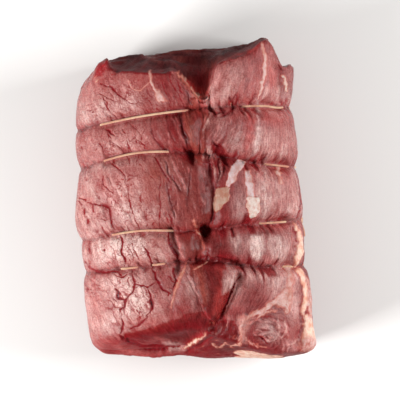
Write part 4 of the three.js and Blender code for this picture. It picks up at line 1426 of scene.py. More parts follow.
def store(mesh: bpy.types.Mesh, name: str, kind: str, values: Array) -> None:
    """Keeps values at a mesh's points under a name."""
    mesh.attributes.new(name, kind, "POINT").data.foreach_set(KINDS[kind], values.ravel())


def kept(mesh: bpy.types.Mesh, name: str) -> Array:
    """The numbers that a mesh keeps at its points under a name."""
    values = np.empty(len(mesh.vertices))
    mesh.attributes[name].data.foreach_get("value", values)
    return values


@dataclass
class Skin:
    """Points of the meat's surface, and the colours and masks that are painted there."""

    places: Array  # mm
    seen: Array  # steps of the plan, where they show
    upper: Array  # how far each belongs to the upper side
    drawn: Array  # how far marks and patches reach it
    tone: Array = field(init=False)
    trim: Array = field(init=False)  # the colour of the fat
    fat: Array = field(init=False)
    # the pale dried skin with its painted sheen
    haze: Array = field(init=False)
    crackle: Array = field(init=False)
    gash: Array = field(init=False)

    def __post_init__(self) -> None:
        """Starts with plain red skin."""
        count = len(self.places)
        self.tone, self.trim = (np.tile(tint.light, (count, 1)) for tint in (MUSCLE, VEIN))
        self.fat, self.haze, self.crackle, self.gash = np.zeros((4, count))

    def tint(self, tint: Tint, share: Array, near: Array | slice = slice(None)) -> None:
        """Mixes a tint into the colour of points, by a share for each."""
        self.tone[near] = mix(self.tone[near], tint.light, share[:, None])

    def character(self, name: str, start: float) -> Array:
        """One character of the surface, as the blooms set it one over another.

        Args:
            name: The bloom's value to read.
            start: Its value where no bloom lies.

        Returns:
            The value at each point.
        """
        total = np.full(len(self.places), start)
        for bloom in FIELDS:
            value = getattr(bloom, name)
            if value is not None:
                total = mix(total, value, bloom.cover(self.seen) * self.upper)
        return total

    def reached(self, patch: Patch) -> tuple[Array, Array]:
        """The numbers of the points that a patch reaches, and how much of it covers each."""
        near = reachable(self.seen, patch.outline, 4.0)
        share = self.upper if patch.spot else self.drawn
        return near, patch.cover(self.seen[near]) * share[near] * patch.held(self.places[near])

    def lay(self, line: Mark | Patch, near: Array, cover: Array) -> None:
        """Lays the fat or the colour of a mark or patch.

        Args:
            line: The mark or patch.
            near: The numbers of the points that it reaches.
            cover: How much of it covers each.
        """
        if line.fat:
            self.trim[near] = mix(self.trim[near], line.tint.light, np.minimum(1.0, 2.5 * cover)[:, None])
        elif line.tint:
            self.tint(line.tint, cover * line.strength, near)
        self.fat[near] = np.maximum(self.fat[near], line.fat * cover)

    def store(self, mesh: bpy.types.Mesh) -> None:
        """Keeps the colours and masks at the mesh's points."""
        for name in ("tone", "trim"):
            store(mesh, name, "FLOAT_COLOR", np.c_[getattr(self, name), np.ones(len(self.places))])
        for name in ("haze", "fat", "crackle", "gash"):
            store(mesh, name, "FLOAT", np.clip(getattr(self, name), 0.0, 1.0))


def stroke(chance: np.random.Generator, name: str, route: Array, tint: Tint, *limits: Point) -> Mark:
    """Draws a line whose sizes lie between limits.

    Args:
        chance: The random numbers to draw from.
        name: The line's name.
        route: Its corners, in steps.
        tint: Its colour.
        limits: The limits of its width, relief, strength and, for some lines, haze.

    Returns:
        The line.
    """
    width, relief, strength, *haze = (mix(low, high, chance.random()) for low, high in limits)
    return Mark(name, route, width, relief, tint, strength, haze=sum(haze))


@dataclass
class Meat:
    """The rolled meat, one closed piece with relief and colours at each point."""

    form: RollForm = field(default_factory=RollForm)
    finish: BeefFinish = field(default_factory=BeefFinish)
    cut_finish: BeefFinish = field(default_factory=lambda: BeefFinish(
        name="dried_cut_beef", roughness=(0.4, 0.6), ior=1.16, streaks=0.6, bump=0.5))
    end_finish: BeefFinish = field(default_factory=lambda: BeefFinish(
        name="wet_beef_end", roughness=(0.3, 0.5), ior=1.08))
    across_cuts: tuple[int, int] = (18, 10)  # the mesh's columns, split in two passes
    along_cuts: tuple[int, int] = (20, 16)
    up_cuts: tuple[int, int] = (8, 5)
    base_share: float = 0.07  # of the faces kept on the flat base
    flank_share: float = 0.4  # of the faces kept below the waist
    crack_count: int = 120
    cracked: tuple[Point, Point] = ((80, 82), (178, 322))  # steps, opposite corners of the cracked skin
    streak_count: int = 120
    loose_left: tuple[Point, Point] = ((162, 84), (206, 224))  # steps, corners of the loose bundles
    loose_right: tuple[Point, Point] = ((204, 114), (240, 152))
    bare: tuple[Point, Point] = ((182, 96), (206, 165))  # steps, corners of the part without pale lines
    curl_count: int = 70
    curl_middle: Point = (262, 346)  # steps, the foot of the near end's eye
    cut_span: Point = (106, 265)  # steps across, from and to, of the dried cut face
    cut_core: float = 203.0  # steps across, of the inner muscle
    foot_row: float = 322.0  # steps down, where the near end's shaded foot starts
    ring_width: float = 70.0  # mm, half the width and height of the rings that the fibres run round
    ring_height: float = 46.0
    slant: float = 0.42  # mm across for each mm along, of the left half's fibres
    channel: float = 2.4  # mm, how far the base is raised over a string
    # painted shade of the steep sides, against the colour of level skin
    steep_shade: Triple = (0.95, 0.6, 0.62)  # against the colour of level skin
    box: Array = field(default_factory=lambda: np.zeros((0, 3)))
    floor: Array = field(default_factory=lambda: np.zeros((0, 3)))
    outward: Array = field(default_factory=lambda: np.zeros((0, 3)))

    def build(self) -> bpy.types.Object:
        """Makes the meat and dresses it.

        Returns:
            The finished piece.
        """
        piece = self.block()
        self.shape(piece.data)
        self.thin(piece)
        self.paint(piece.data)
        materials = [beef_material(made) for made in (self.finish, self.cut_finish, self.end_finish)]
        finish_piece(piece, materials, "beef_joint")
        return piece

    def block(self) -> bpy.types.Object:
        """Adds a cube and splits it into fine rows and columns.

        Returns:
            The split cube, two units wide.
        """
        bpy.ops.object.select_all(action="DESELECT")
        bpy.ops.mesh.primitive_cube_add(size=2.0)
        piece = bpy.context.object
        piece.name = "meat"
        bpy.ops.object.mode_set(mode="EDIT")
        bpy.ops.mesh.select_mode(type="EDGE")
        for axis, cuts in ((1, self.along_cuts), (0, self.across_cuts), (2, self.up_cuts)):
            for parts in cuts:
                self.select_edges(piece.data, axis)
                bpy.ops.mesh.subdivide(number_cuts=parts - 1)
        bpy.ops.object.mode_set(mode="OBJECT")
        return piece

    def select_edges(self, mesh: bpy.types.Mesh, axis: int) -> None:
        """Selects the edges that lie along an axis, of a mesh in edit mode.

        Args:
            mesh: The mesh.
            axis: The number of the axis.
        """
        work = bmesh.from_edit_mesh(mesh)
        for edge in work.edges:
            start, end = (corner.co[axis] for corner in edge.verts)
            edge.select = abs(start - end) > SAME
        work.select_flush_mode()
        bmesh.update_edit_mesh(mesh)

    def shape(self, mesh: bpy.types.Mesh) -> None:
        """Turns the split cube into the joint: outline, then main relief, then fine relief.

        Args:
            mesh: The split cube's mesh.
        """
        even = places_of(mesh) * MM
        rows = sum(self.form.fine_rows)
        number = np.rint((even[:, 1] + 1) / 2 * rows)
        spread = np.tan(np.pi / 4 * even[:, [0, 2]])
        self.box = np.stack([spread[:, 0], self.form.fine_row(number), spread[:, 1]], axis=1)
        outline = self.form.outline(self.box)
        move_points(mesh, outline)
        normals = directions_of(mesh)
        self.floor = outline + normals * self.form.main_relief(outline, self.box, normals)[:, None]
        self.outward = normals
        move_points(mesh, self.floor)
        normals = directions_of(mesh)
        relief = self.fine_relief(self.floor, normals)
        places = self.floor + normals * relief[:, None]
        places += sum(push.moved(places) for push in PUSHES)
        places[:, 2] = np.maximum(places[:, 2], self.channels(places))
        move_points(mesh, places)
        store(mesh, "cut", "FLOAT", np.where(self.box[:, 1] > FACE, 1.0, 0.0))
        store(mesh, "rise", "FLOAT", relief)

    def channels(self, places: Array) -> Array:
        """The lowest height of the base at each place: level, but raised over the strings."""
        _, gap = self.form.ties_near(places)
        return self.channel * (1 - smoothstep(1.0, 2.2, np.abs(gap)))

    def skin(self, places: Array, normals: Array, level: float) -> Skin:
        """Looks at points of the surface before they are shaped or painted.

        Args:
            places: The points' places, in mm.
            normals: Their outward directions.
            level: The least upward direction that still counts as the upper side.

        Returns:
            The points, on the upper side where they look up, and lower down at the near end. Marks don't run
            down the near end's wall.
        """
        near = smoothstep(76, 90, -places[:, 1])
        facing = smoothstep(level - 0.12 * near, level + 0.28 - 0.2 * near, normals[:, 2])
        upper = facing * smoothstep(0, 12, places[:, 2] - mix(28.0, 8.0, near))
        wall = smoothstep(0.92, 0.985, -normals[:, 1] + 0.05 * noise(places, 6.0, 84))
        wall *= smoothstep(76, 88, -places[:, 1])
        wander = 1.1 * shifts(places, 5.0, 21) + 0.9 * shifts(places, 1.7, 23)  # so that drawn lines waver
        return Skin(places, PLAN.seen(places) + wander, upper, upper * (1 - wall))

    def plates(self, places: Array, weight: Array) -> tuple[Array, Array]:
        """The plates of the cracked skin.

        Args:
            places: Places on the main surface.
            weight: How far the skin has cracked at each place.

        Returns:
            How deep in a crack each place is, from 0 to 1, and its plate's own value from 0 to 1.
        """
        plane = self.fibre(places)[:, :2] * (1.0, 0.6)
        plane += 2.2 * shifts(places, 4.5, 61) + 0.7 * shifts(places, 1.6, 63)
        inside, own = cells(plane, 7.5, 65)
        open_share = smoothstep(-0.5, 0.3, noise(places, 10.0, 68) + weight - 0.6)
        crack = (1 - smoothstep(0.02, 0.17, inside)) * open_share
        return crack * np.minimum(weight * 1.3, 1.0), own

    def gathers(self, places: Array) -> Array:
        """How deep the small folds that the strings draw together are at each place, from 0 to 1."""
        nearest, gap = self.form.ties_near(places)
        line = np.stack([self.fibre(places)[:, 0] / 2.4, nearest * 7.0 + 3.0 * (gap > 0), gap / 14], axis=1)
        fold = smoothstep(0.0, 0.6, noise(line, 1.0, 11))
        side = mix(0.5, 1.0, smoothstep(-20, 20, places[:, 0]))
        return fold * side * bell(np.abs(gap) - 1.5, mix(4.0, 6.0, smoothstep(-20, 20, places[:, 0])))

    def fine_relief(self, places: Array, normals: Array) -> Array:
        """The relief of marks, folds and fibres, in mm outwards.

        Args:
            places: Places on the main surface.
            normals: Its outward directions.

        Returns:
            The relief at each place.
        """
        skin = self.skin(places, normals, 0.05)
        relief = np.zeros(len(places))
        for patch in PATCHES:
            near, cover = skin.reached(patch)
            relief[near] += patch.relief * cover
        for mark in self.lines():
            near = reachable(skin.seen, mark.route, 8.0 + mark.fade)
            raised = mark.raised(skin.seen[near]) * skin.drawn[near]
            relief[near] += raised * (0.7 if mark.opens() else 1.0)
        fibre = self.fibre(places)
        strands = noise(fibre, (1.3, 14.0, 9.0), 3) + 0.6 * noise(fibre, (2.9, 26.0, 9.0), 4)
        groove = smoothstep(0.35, 0.9, noise(fibre, (2.4, 22.0, 30.0), 71))
        groove = np.maximum(groove, smoothstep(0.3, 0.8, noise(fibre, (4.6, 34.0, 30.0), 72)))
        relief -= 1.5 * skin.character("strands", 0.15) * groove
        left = 1 - smoothstep(-35, -5, places[:, 0])
        relief += 0.7 * left * noise(fibre, (8.0, 50.0, 30.0), 73) * skin.upper
        weight = skin.character("plates", 0.0)
        crack, own = self.plates(places, weight)
        relief += skin.upper * (0.3 * weight * (own - 0.5) - 0.4 * crack)
        lumps = 0.6 * noise(places, 7.0, 5) + 0.42 * noise(places, 2.8, 6) + 0.22 * noise(places, 1.3, 7)
        right = smoothstep(-10, 25, places[:, 0])
        relief += mix(0.08, 0.12, right) * strands + mix(0.28, 0.42, right) * lumps
        flakes = noise(places, (11.0, 4.0, 1.8), 8) + 0.5 * noise(places, (5.0, 2.0, 1.0), 9)
        relief += np.where(self.box[:, 1] > FACE, 0.8 * flakes, 0.0)
        return relief - 1.2 * self.gathers(places)

    def lines(self) -> list[Mark]:
        """Every line that is drawn on the upper side, in the order of drawing."""
        return [*self.streaks(), *self.curls(), *self.cracks(), *MARKS]

    def cracks(self) -> list[Mark]:
        """Short cracks of the dried skin on the left half, which lean to the right towards the near end.

        Returns:
            The cracks, in the order of drawing.
        """
        chance = np.random.default_rng(5)
        made = []
        for number in range(self.crack_count):
            start = chance.uniform(*self.cracked)
            length = chance.uniform(4, 15)
            lean = chance.normal(0.38, 0.3)
            bend = chance.normal(0.0, 0.1) * length
            way = np.array([math.sin(lean), math.cos(lean)])
            middle = start + way * length / 2 + np.array([way[1], -way[0]]) * bend
            route = np.array([start, middle, start + way * length])
            tint = BLOOD if chance.random() < 0.6 else AGED
            limits = (0.3, 0.5), (-0.15, -0.45), (0.5, 1.0)
            made.append(stroke(chance, f"crack_{number}", route, tint, *limits))
        return made

    def streaks(self) -> list[Mark]:
        """Pale lines of the loose bundles in the middle of the upper side.

        Returns:
            The lines, in the order of drawing.
        """
        chance = np.random.default_rng(8)
        made = []
        for number in range(self.streak_count):
            right = number % 3 == 0
            start = chance.uniform(*(self.loose_right if right else self.loose_left))
            if not right and (start > self.bare[0]).all() and (start < self.bare[1]).all():
                continue
            lean = chance.normal(-0.4 if right else 0.3, 0.08)
            way = np.array([math.sin(lean), math.cos(lean)]) * chance.uniform(5, 16)
            middle = start + way / 2 + chance.uniform(-0.8, 0.8, 2)
            route = np.array([start, middle, start + way])
            limits = (0.3, 0.5), (0.1, 0.4), (0.15, 0.4), (0.0, 0.1)
            made.append(stroke(chance, f"streak_{number}", route, ROSE, *limits))
        return made

    def curls(self) -> list[Mark]:
        """Light and dark lines that bend round the foot of the near end's eye.

        Returns:
            The lines, in the order of drawing.
        """
        chance = np.random.default_rng(11)
        made = []
        for number in range(self.curl_count):
            radius = chance.uniform(7, 34)
            turn = math.radians(chance.uniform(-125, -10))
            reach = math.radians(chance.uniform(14, 45))
            turns = turn + reach * np.array([0.0, 0.5, 1.0])
            route = self.curl_middle + radius * np.stack([np.cos(turns), 0.9 * np.sin(turns)], axis=1)
            light = (ROSE, (0.4, 0.8), (0.15, 0.5), (0.3, 0.6), (0.0, 0.2))
            dark = (MUSCLE, (0.4, 0.9), (-0.2, -0.5), (0.4, 0.9))
            made.append(stroke(chance, f"curl_{number}", route, *(light if number % 3 else dark)))
        return made

    def fibre(self, places: Array) -> Array:
        """Coordinates that follow the muscle's fibres: round the roll, along the fibre, and outwards.

        Args:
            places: Places on the meat, in mm.

        Returns:
            The three coordinates of each place, in mm.
        """
        x, y, z = places.T
        turn = np.arctan2(x, z - self.form.waist)
        table = np.linspace(-np.pi, np.pi, 721)
        wide, high, power = self.ring_width, self.ring_height, self.form.roundness
        sides = np.abs(np.sin(table) / wide) ** power + np.abs(np.cos(table) / high) ** power
        reach = sides ** (-1 / power)
        ring = np.stack([reach * np.sin(table), reach * np.cos(table)], axis=1)
        girth = np.r_[0.0, np.cumsum(np.linalg.norm(np.diff(ring, axis=0), axis=1))]
        around = np.interp(turn, table, girth - girth[len(table) // 2])
        bay = sum((y > self.form.loop_line(tie, x, z)).astype(int) for tie in TIES)
        around += self.slant * (1 - smoothstep(-14, 14, x)) * (y - np.array(self.form.bay_middles)[bay])
        depth = np.hypot(x / wide, (z - self.form.waist) / high) * high
        seen = PLAN.seen(places)
        top = smoothstep(self.form.waist, self.form.waist + 15, z)
        for lean in LEANS:
            below = (seen[:, 1] - lean.centre[1]) * PLAN.step
            around += lean.lean * below * soft_spot(seen, lean.centre, lean.reach) * top
        around += 0.4 * noise(places, 13.0, 51) + 0.2 * noise(places, 4.0, 52)
        offset = seen - SWIRL
        ring = np.linalg.norm(offset, axis=1)
        ring += 4.5 * noise(places, 9.0, 53) + 1.5 * noise(places, 3.0, 54)
        whirl = (1 - smoothstep(0.5 * SWIRL_REACH, SWIRL_REACH, ring)) * top
        around += 6.0 * whirl * noise(places, 10.0, 55)
        around = mix(around, 50 + 0.9 * ring * PLAN.step, 0.65 * whirl)
        turned = 12 * np.arctan2(offset[:, 0], offset[:, 1])
        along = mix(y + 6.0 * whirl * noise(places, 10.0, 56), turned, 0.65 * whirl)
        return np.stack([around, along, depth], axis=1)

    def thin(self, piece: bpy.types.Object) -> None:
        """Takes faces out of the flat base and the lower flanks, which need fewer.

        Args:
            piece: The shaped meat.
        """
        select_only(piece)
        for low, high, share in ((-50.0, 3.0, self.base_share), (3.0, self.form.waist - 4, self.flank_share)):
            mesh = piece.data
            heights = places_of(mesh)[:, 2]
            bpy.ops.object.mode_set(mode="EDIT")
            bpy.ops.mesh.select_mode(type="VERT")
            bpy.ops.mesh.select_all(action="DESELECT")
            bpy.ops.object.mode_set(mode="OBJECT")
            mesh.vertices.foreach_set("select", (heights >= low) & (heights < high))
            bpy.ops.object.mode_set(mode="EDIT")
            bpy.ops.mesh.decimate(ratio=share)
            bpy.ops.object.mode_set(mode="OBJECT")

    def paint(self, mesh: bpy.types.Mesh) -> None:
        """Writes colours, masks and fibre directions to the mesh's points.

        Args:
            mesh: The shaped meat's mesh.
        """
        normals = directions_of(mesh)
        skin = self.skin(places_of(mesh), normals, -0.05)
        self.bloom(skin)
        # Painted shade: steep sides are darkened and made deeper red.
        steep = 1 - smoothstep(0.15, 0.65, normals[:, 2])
        skin.tone = mix(skin.tone, skin.tone * self.steep_shade, steep[:, None])
        face = self.cut_face(skin, mesh)
        for patch in PATCHES:
            near, cover = skin.reached(patch)
            skin.lay(patch, near, cover)
            skin.haze[near] += patch.haze * cover
            skin.crackle[near] += patch.crackle * cover
        self.draw_lines(skin)
        upper = skin.upper
        # The cut face gets no skin cracks, painted sheen or painted valley shade.
        skin.upper = upper * (1 - face)  # the cut face has no skin to weather
        self.redden_cracks_and_shade_valleys(skin, kept(mesh, "rise"))
        self.redden_and_shade_creases(skin, upper)
        foot = smoothstep(0.3, 0.5, -normals[:, 1])
        foot *= smoothstep(self.foot_row - 4, self.foot_row + 4, skin.seen[:, 1])
        self.give_slots(mesh, face, foot)
        skin.store(mesh)
        store(mesh, "fibre", "FLOAT_VECTOR", self.fibre(skin.places))

    def bloom(self, skin: Skin) -> None:
        """Colours the upper side by its blooms, sets its pale haze of dried skin and painted sheen, and lays
        thin fat where they are marbled.

        Args:
            skin: The points to paint.
        """
        places = skin.places
        marble = np.zeros(len(places))
        for bloom in FIELDS:
            cover = bloom.cover(skin.seen) * skin.upper
            marble += bloom.marble * cover
            skin.tint(bloom.tint, cover * bloom.strength)
        # The pale haze: dried skin, and painted sheen where light would glance off it.
        skin.haze = skin.character("haze", 0.0)
        skin.crackle = skin.character("crackle", 0.2)
        ridge = 1 - np.abs(noise(places + 3.0 * shifts(places, 6.0, 41, 3), 8.0, 44)) / 0.13
        thin = np.clip(ridge, 0.0, 1.0) * np.clip(0.5 + 1.5 * noise(places, 5.0, 45), 0.0, 1.0)
        skin.fat = 0.5 * np.clip(thin * marble, 0.0, 1.0)

    def cut_face(self, skin: Skin, mesh: bpy.types.Mesh) -> Array:
        """Colours the dried cut face of the far end, with painted light on the inner muscle of its opening.

        Args:
            skin: The points to paint.
            mesh: The meat's mesh.

        Returns:
            How far each point belongs to the face.
        """
        across, down = skin.seen.T
        start, end = self.cut_span
        face = kept(mesh, "cut") * smoothstep(start - 3, start + 3, across)
        face *= 1 - smoothstep(end - 3, end + 3, across)
        streak = noise(skin.places, (9.0, 3.0, 1.6), 31) + 0.5 * noise(skin.places, 1.4, 32)
        # The inner muscle of the opening is redder than the dried face, and painted lighter still to make up
        # for the shade it lies in, most on its right wall as its lit side.
        inside = bell(across - self.cut_core, 14) * smoothstep(58, 72, down)
        right = smoothstep(self.cut_core - 11, self.cut_core + 3, across)
        tone = DRIED.light
        for tint, share in (
            (BROWN, 0.55 * smoothstep(-0.1, 1.0, streak)), (DARK, 0.8 * smoothstep(0.1, 0.8, -streak)),
            (RED, 0.8 * inside * right), (MUSCLE, 0.9 * inside * (1 - right)),
        ):
            tone = mix(tone, tint.light, share[:, None])
        skin.tone = mix(skin.tone, tone, face[:, None])
        skin.haze *= 1 - face
        skin.crackle *= 1 - 0.7 * face
        return face

    def draw_lines(self, skin: Skin) -> None:
        """Colours the drawn lines: open cracks, seams, veins and edges, with painted shade in the cores of
        deep grooves.

        Args:
            skin: The points to paint.
        """
        broken = np.clip(0.8 + 0.7 * noise(skin.places, 2.2, 33), 0.25, 1.0)
        for mark in self.lines():
            near = reachable(skin.seen, mark.route, 6.0)
            distance, _, along = mark.measure(skin.seen[near])
            drawn = skin.drawn[near]
            cover = mark.cover(distance, along) * drawn * (1.0 if mark.fat else broken[near])
            if mark.opens():
                skin.gash[near] = np.maximum(skin.gash[near], mark.gash(distance, along) * drawn)
                cover *= 0.7
            skin.lay(mark, near, cover)
            # Painted shade: the core of a deep groove is darkened.
            if mark.relief < -0.7 and mark.tint is not BLOOD:
                core = np.clip(-mark.relief / 2, 0.0, 1.0) * cover**4
                skin.tint(DARK, 0.4 * core, near)
            if mark.relief < 0:
                skin.haze[near] *= 1 - mark.strength * cover
            skin.haze[near] += mark.haze * cover

    def redden_cracks_and_shade_valleys(self, skin: Skin, rise: Array) -> None:
        """Reddens the skin's cracks, darkens its valleys with wet red that is partly painted shade, and
        varies the haze, with painted sheen raised on ridges and taken out of valleys.

        Args:
            skin: The points to paint.
            rise: How far each stands out of the main surface, in mm.
        """
        crack, own = self.plates(skin.places, skin.character("plates", 0.0))
        skin.tint(BLOOD, 0.85 * crack)
        # Valleys: wet red, partly painted shade, and no painted sheen; ridges: more painted sheen.
        shaded_wet_valley = smoothstep(0.1, 1.1, -rise) * skin.upper
        skin.haze *= (1 - crack) * (1 + 0.5 * (own - 0.5))
        skin.haze *= (1 + 0.25 * smoothstep(0.1, 0.9, rise)) * (1 - 0.85 * shaded_wet_valley)
        skin.haze *= 1 + 0.2 * noise(skin.places, 9.0, 34) + 0.2 * noise(skin.places, 3.5, 35)
        skin.tint(WET, 0.55 * shaded_wet_valley)

    def redden_and_shade_creases(self, skin: Skin, upper: Array) -> None:
        """Paints shade into the creases under the strings, takes the painted sheen out beside them, and
        reddens the folds that they draw together.

        Args:
            skin: The points to paint.
            upper: How far each belongs to the upper side, with the cut face.
        """
        places = skin.places
        nearest, gap = self.form.ties_near(places)
        cover = self.form.covering(places, nearest)
        shaken = gap + cover * (1.6 * noise(places, 3.2, 37) + 0.9 * noise(places, 1.5, 38))
        depth = bell(shaken, mix(1.5, 1.0, cover)) * mix(0.3, 0.65, cover)
        depth *= 0.7 + 0.5 * noise(places, 4.0, 39)
        reach = mix(2.2, 4.0, smoothstep(-20, 20, places[:, 0])) * (1 + 0.5 * noise(places, 3.5, 36))
        squeezed = bell(gap / reach, 1.0) * upper
        # Less painted sheen beside the strings.
        skin.haze *= 1 - 0.6 * squeezed
        skin.tint(BLOOD, 0.4 * np.maximum(self.gathers(places), squeezed))
        # Painted shade along the string lines, deepest where meat closes over them.
        skin.tint(DARK, np.clip(depth, 0.0, 1.0))

    def give_slots(self, mesh: bpy.types.Mesh, face: Array, foot: Array) -> None:
        """Gives the faces of the cut face and of the near end's foot their own materials.

        Args:
            mesh: The meat's mesh.
            face: How far each point belongs to the cut face.
            foot: How far each belongs to the foot.
        """
        points = np.empty(len(mesh.loops), np.int32)
        mesh.loops.foreach_get("vertex_index", points)
        starts = np.empty(len(mesh.polygons), np.int32)
        mesh.polygons.foreach_get("loop_start", starts)
        dried, shaded = (np.minimum.reduceat(share[points], starts) > 0.5 for share in (face, foot))
        slots = np.where(dried, 1, np.where(shaded, 2, 0)).astype(np.int32)
        mesh.polygons.foreach_set("material_index", slots)


def reachable(seen: Array, route: Route, margin: float) -> Array:
    """The numbers of the places near a route or outline on the plan."""
    posts = corners(route)
    inside = (seen > posts.min(axis=0) - margin) & (seen < posts.max(axis=0) + margin)
    return np.flatnonzero(inside.all(axis=1))


# ---- The strings ----


@dataclass
class Twine:
    """Cotton string of three twisted plies, tied round the meat."""

    meat: Meat
    finish: TwineFinish = field(default_factory=TwineFinish)
    radius: float = 0.8  # mm, of the whole string
    ride: float = 0.75  # mm, from the crease's floor to the string's middle
    sunk: float = -4.4  # mm, the same where meat closes over it
    plies: int = 3
    ply: float = 0.34  # mm, radius of a ply
    spread: float = 0.4  # mm, from the string's middle to a ply's
    pitch: float = 3.4  # mm, length of a full twist
    step: float = 0.38  # mm, between points
    knot: float = 0.62  # mm, scale of the knot's turns
    tail_rows: float = 3.0  # rows of the solid's mesh that a tail reaches
    tail_sag: float = 0.02  # mm for each square mm from the knot
    aside: Triple = (0.31, 0.82, 0.48)  # a direction that no string runs in

    def build(self, number: int, material: bpy.types.Material) -> bpy.types.Object:
        """Makes one string with its knot and tails.

        Args:
            number: The string's place in TIES.
            material: The cotton's material.

        Returns:
            The finished piece.
        """
        tie = TIES[number]
        ring = self.ring(number)
        knot_at, tail = self.tail(number)
        curve = bpy.data.curves.new(tie.name + "_plies", "CURVE")
        curve.dimensions = "3D"
        curve.bevel_depth = self.ply * MM
        curve.bevel_resolution = 1
        curve.use_fill_caps = True
        self.add_plies(curve, ring, True)
        self.add_plies(curve, self.knot_path(knot_at), True)
        self.add_plies(curve, tail, False)
        piece = bpy.data.objects.new(tie.name + "_twine", curve)
        bpy.context.scene.collection.objects.link(piece)
        select_only(piece)
        bpy.ops.object.convert(target="MESH")
        piece = bpy.context.object
        finish_piece(piece, [material], tie.name)
        return piece

    def over(self, points: Array) -> Array:
        """The place of a string's middle over points of the meat's mesh.

        Args:
            points: The numbers of the points.

        Returns:
            The places, in mm.
        """
        places = self.meat.floor[points]
        nearest, _ = self.meat.form.ties_near(places)
        cover = self.meat.form.covering(places, nearest)
        lift = mix(self.ride, self.sunk, cover)
        path = places + self.meat.outward[points] * lift[:, None]
        path[:, 2] = np.maximum(path[:, 2], self.radius + 0.05)
        return path

    def row(self, number: int) -> float:
        """The place of a string's row along the unit box."""
        rows = self.meat.form.bay_rows
        return 2.0 * sum(rows[: number + 1]) / sum(rows) - 1.0

    def ring(self, number: int) -> Array:
        """The closed line of a string's middle round the joint, as even points."""
        box = self.meat.box
        points = np.flatnonzero(np.abs(box[:, 1] - self.row(number)) < SAME)
        turn = np.arctan2(box[points, 2], box[points, 0])
        path = self.over(points[np.argsort(turn)])
        return evened(path, self.step, True)

    def tail(self, number: int) -> tuple[Array, Array]:
        """The knot's place and the line of the two tails, over the flank's bulges.

        Args:
            number: The string's place in TIES.

        Returns:
            The knot's middle, and the tails' line as even points.
        """
        box = self.meat.box
        row = self.row(number)
        flank = np.flatnonzero(box[:, 0] > FACE)
        on_row = flank[np.abs(box[flank, 1] - row) < SAME]
        knot = on_row[np.argmin(np.abs(self.meat.floor[on_row, 2] - TIES[number].knot_height))]
        reach = 2 * self.tail_rows / sum(self.meat.form.bay_rows)
        level = flank[np.abs(box[flank, 2] - box[knot, 2]) < SAME]
        level = level[np.abs(box[level, 1] - row) < reach]
        path = self.over(level[np.argsort(box[level, 1])])
        path[:, 2] -= self.tail_sag * (path[:, 1] - path[:, 1].mean()) ** 2
        return self.over(np.array([knot]))[0], evened(path, self.step, False)

    def knot_path(self, centre: Array) -> Array:
        """The turns of an overhand knot that lies flat on the flank."""
        t = np.linspace(0.0, 2 * np.pi, 61)[:-1]
        up = np.sin(t) + 2 * np.sin(2 * t)
        along = np.cos(t) - 2 * np.cos(2 * t)
        out = -np.sin(3 * t)
        turns = np.stack([0.9 * out + 0.6, along, up], axis=1) * self.knot
        return evened(centre + turns, self.step, True)

    def add_plies(self, curve: bpy.types.Curve, path: Array, closed: bool) -> None:
        """Adds three plies that twist round a line.

        Args:
            curve: The curve to add them to.
            path: The line, as even points in mm.
            closed: Whether its ends meet.
        """
        ahead = np.roll(path, -1, axis=0) if closed else np.r_[path[1:], path[-1:]]
        behind = np.roll(path, 1, axis=0) if closed else np.r_[path[:1], path[:-1]]
        way = ahead - behind
        way /= np.linalg.norm(way, axis=1)[:, None]
        side = np.cross(way, self.aside)
        side /= np.linalg.norm(side, axis=1)[:, None]
        out = np.cross(side, way)
        length = self.step * len(path)
        turns = max(1, round(length / self.pitch))
        angle = np.linspace(0.0, 2 * np.pi * turns, len(path), endpoint=not closed)
        for number in range(self.plies):
            a = angle + number * 2 * np.pi / self.plies
            line = path + self.spread * (np.cos(a)[:, None] * side + np.sin(a)[:, None] * out)
            spline = curve.splines.new("POLY")
            spline.points.add(len(line) - 1)
            spline.points.foreach_set("co", np.c_[line * MM, np.ones(len(line))].ravel())
            spline.use_cyclic_u = closed


def evened(path: Array, step: float, closed: bool) -> Array:
    """Points at even distances along a line.

    Args:
        path: The line's points.
        step: The distance between the new points.
        closed: Whether the line's ends meet.

    Returns:
        The new points.
    """
    line = np.r_[path, path[:1]] if closed else path
    for _ in range(6):
        soft = line.copy()
        soft[1:-1] = 0.25 * line[:-2] + 0.5 * line[1:-1] + 0.25 * line[2:]
        line = soft
    gone = np.r_[0.0, np.cumsum(np.linalg.norm(np.diff(line, axis=0), axis=1))]
    count = max(4, round(gone[-1] / step))
    at = np.linspace(0.0, gone[-1], count, endpoint=not closed)
    return np.stack([np.interp(at, gone, column) for column in line.T], axis=1)


# ---- Studio ----


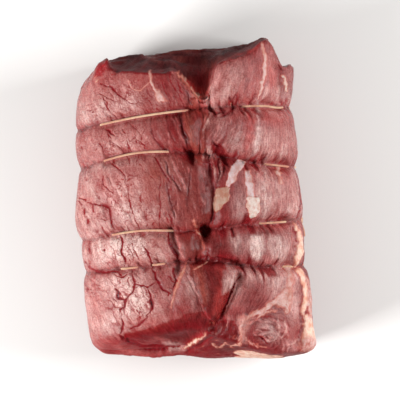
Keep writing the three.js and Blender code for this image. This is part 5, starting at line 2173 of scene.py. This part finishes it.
@dataclass(frozen=True)
class Lamp:
    """A soft square light."""

    name: str
    place: Triple  # metres
    size: float
    power: float

    def add(self, aim: Triple) -> None:
        """Adds the light, facing a place.

        Args:
            aim: The place, in metres.
        """
        light = bpy.data.lights.new(self.name, "AREA")
        light.size = self.size
        light.energy = self.power
        lamp = bpy.data.objects.new(self.name, light)
        bpy.context.scene.collection.objects.link(lamp)
        lamp.location = self.place
        direction = np.array(self.place) - aim
        lamp.rotation_euler = (math.atan2(math.hypot(direction[0], direction[1]), direction[2]), 0.0,
                               math.atan2(direction[0], -direction[1]))


@dataclass(frozen=True)
class Studio:
    """A plain pale floor, soft lights and a camera straight above."""

    floor: FloorFinish = field(default_factory=FloorFinish)
    world: float = 0.28
    lamps: tuple[Lamp, ...] = (
        Lamp("key", (-0.8, -0.35, 0.55), 0.34, 13.0),
        Lamp("fill", (0.85, 0.1, 0.55), 0.4, 10.0),
    )
    sensor: float = 36.0  # mm
    aim: Triple = (0.0, 0.0, 0.04)  # metres, where the lamps look

    def build(self) -> None:
        """Makes the floor, the lights and the camera."""
        bpy.ops.object.select_all(action="DESELECT")
        bpy.ops.mesh.primitive_plane_add(size=6.0)
        floor = bpy.context.object
        floor.name = "floor"
        floor.data.materials.append(floor_material(self.floor))
        world = bpy.data.worlds.new("soft_room")
        world.use_nodes = True
        background = world.node_tree.nodes["Background"]
        background.inputs["Color"].default_value = (1.0, 0.99, 0.98, 1.0)
        background.inputs["Strength"].default_value = self.world
        bpy.context.scene.world = world
        for lamp in self.lamps:
            lamp.add(self.aim)
        view = bpy.data.cameras.new("camera")
        view.sensor_width = self.sensor
        view.lens = self.sensor * PLAN.distance / (PLAN.steps * PLAN.step)
        camera = bpy.data.objects.new("camera", view)
        bpy.context.scene.collection.objects.link(camera)
        camera.location = (PLAN.centre[0] * MM, PLAN.centre[1] * MM, (PLAN.distance + PLAN.waist) * MM)
        bpy.context.scene.camera = camera
        bpy.context.scene.view_settings.view_transform = "Standard"


def main() -> None:
    """Builds the joint and its studio."""
    logging.basicConfig(level=logging.INFO)
    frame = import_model()
    LOG.info("solids: %s", sorted(frame["nodes"]))
    Studio().build()
    meat = Meat()
    meat.build()
    twine = Twine(meat)
    cotton = twine_material(twine.finish)
    for number in range(len(TIES)):
        twine.build(number, cotton)


if __name__ == "__main__":
    main()
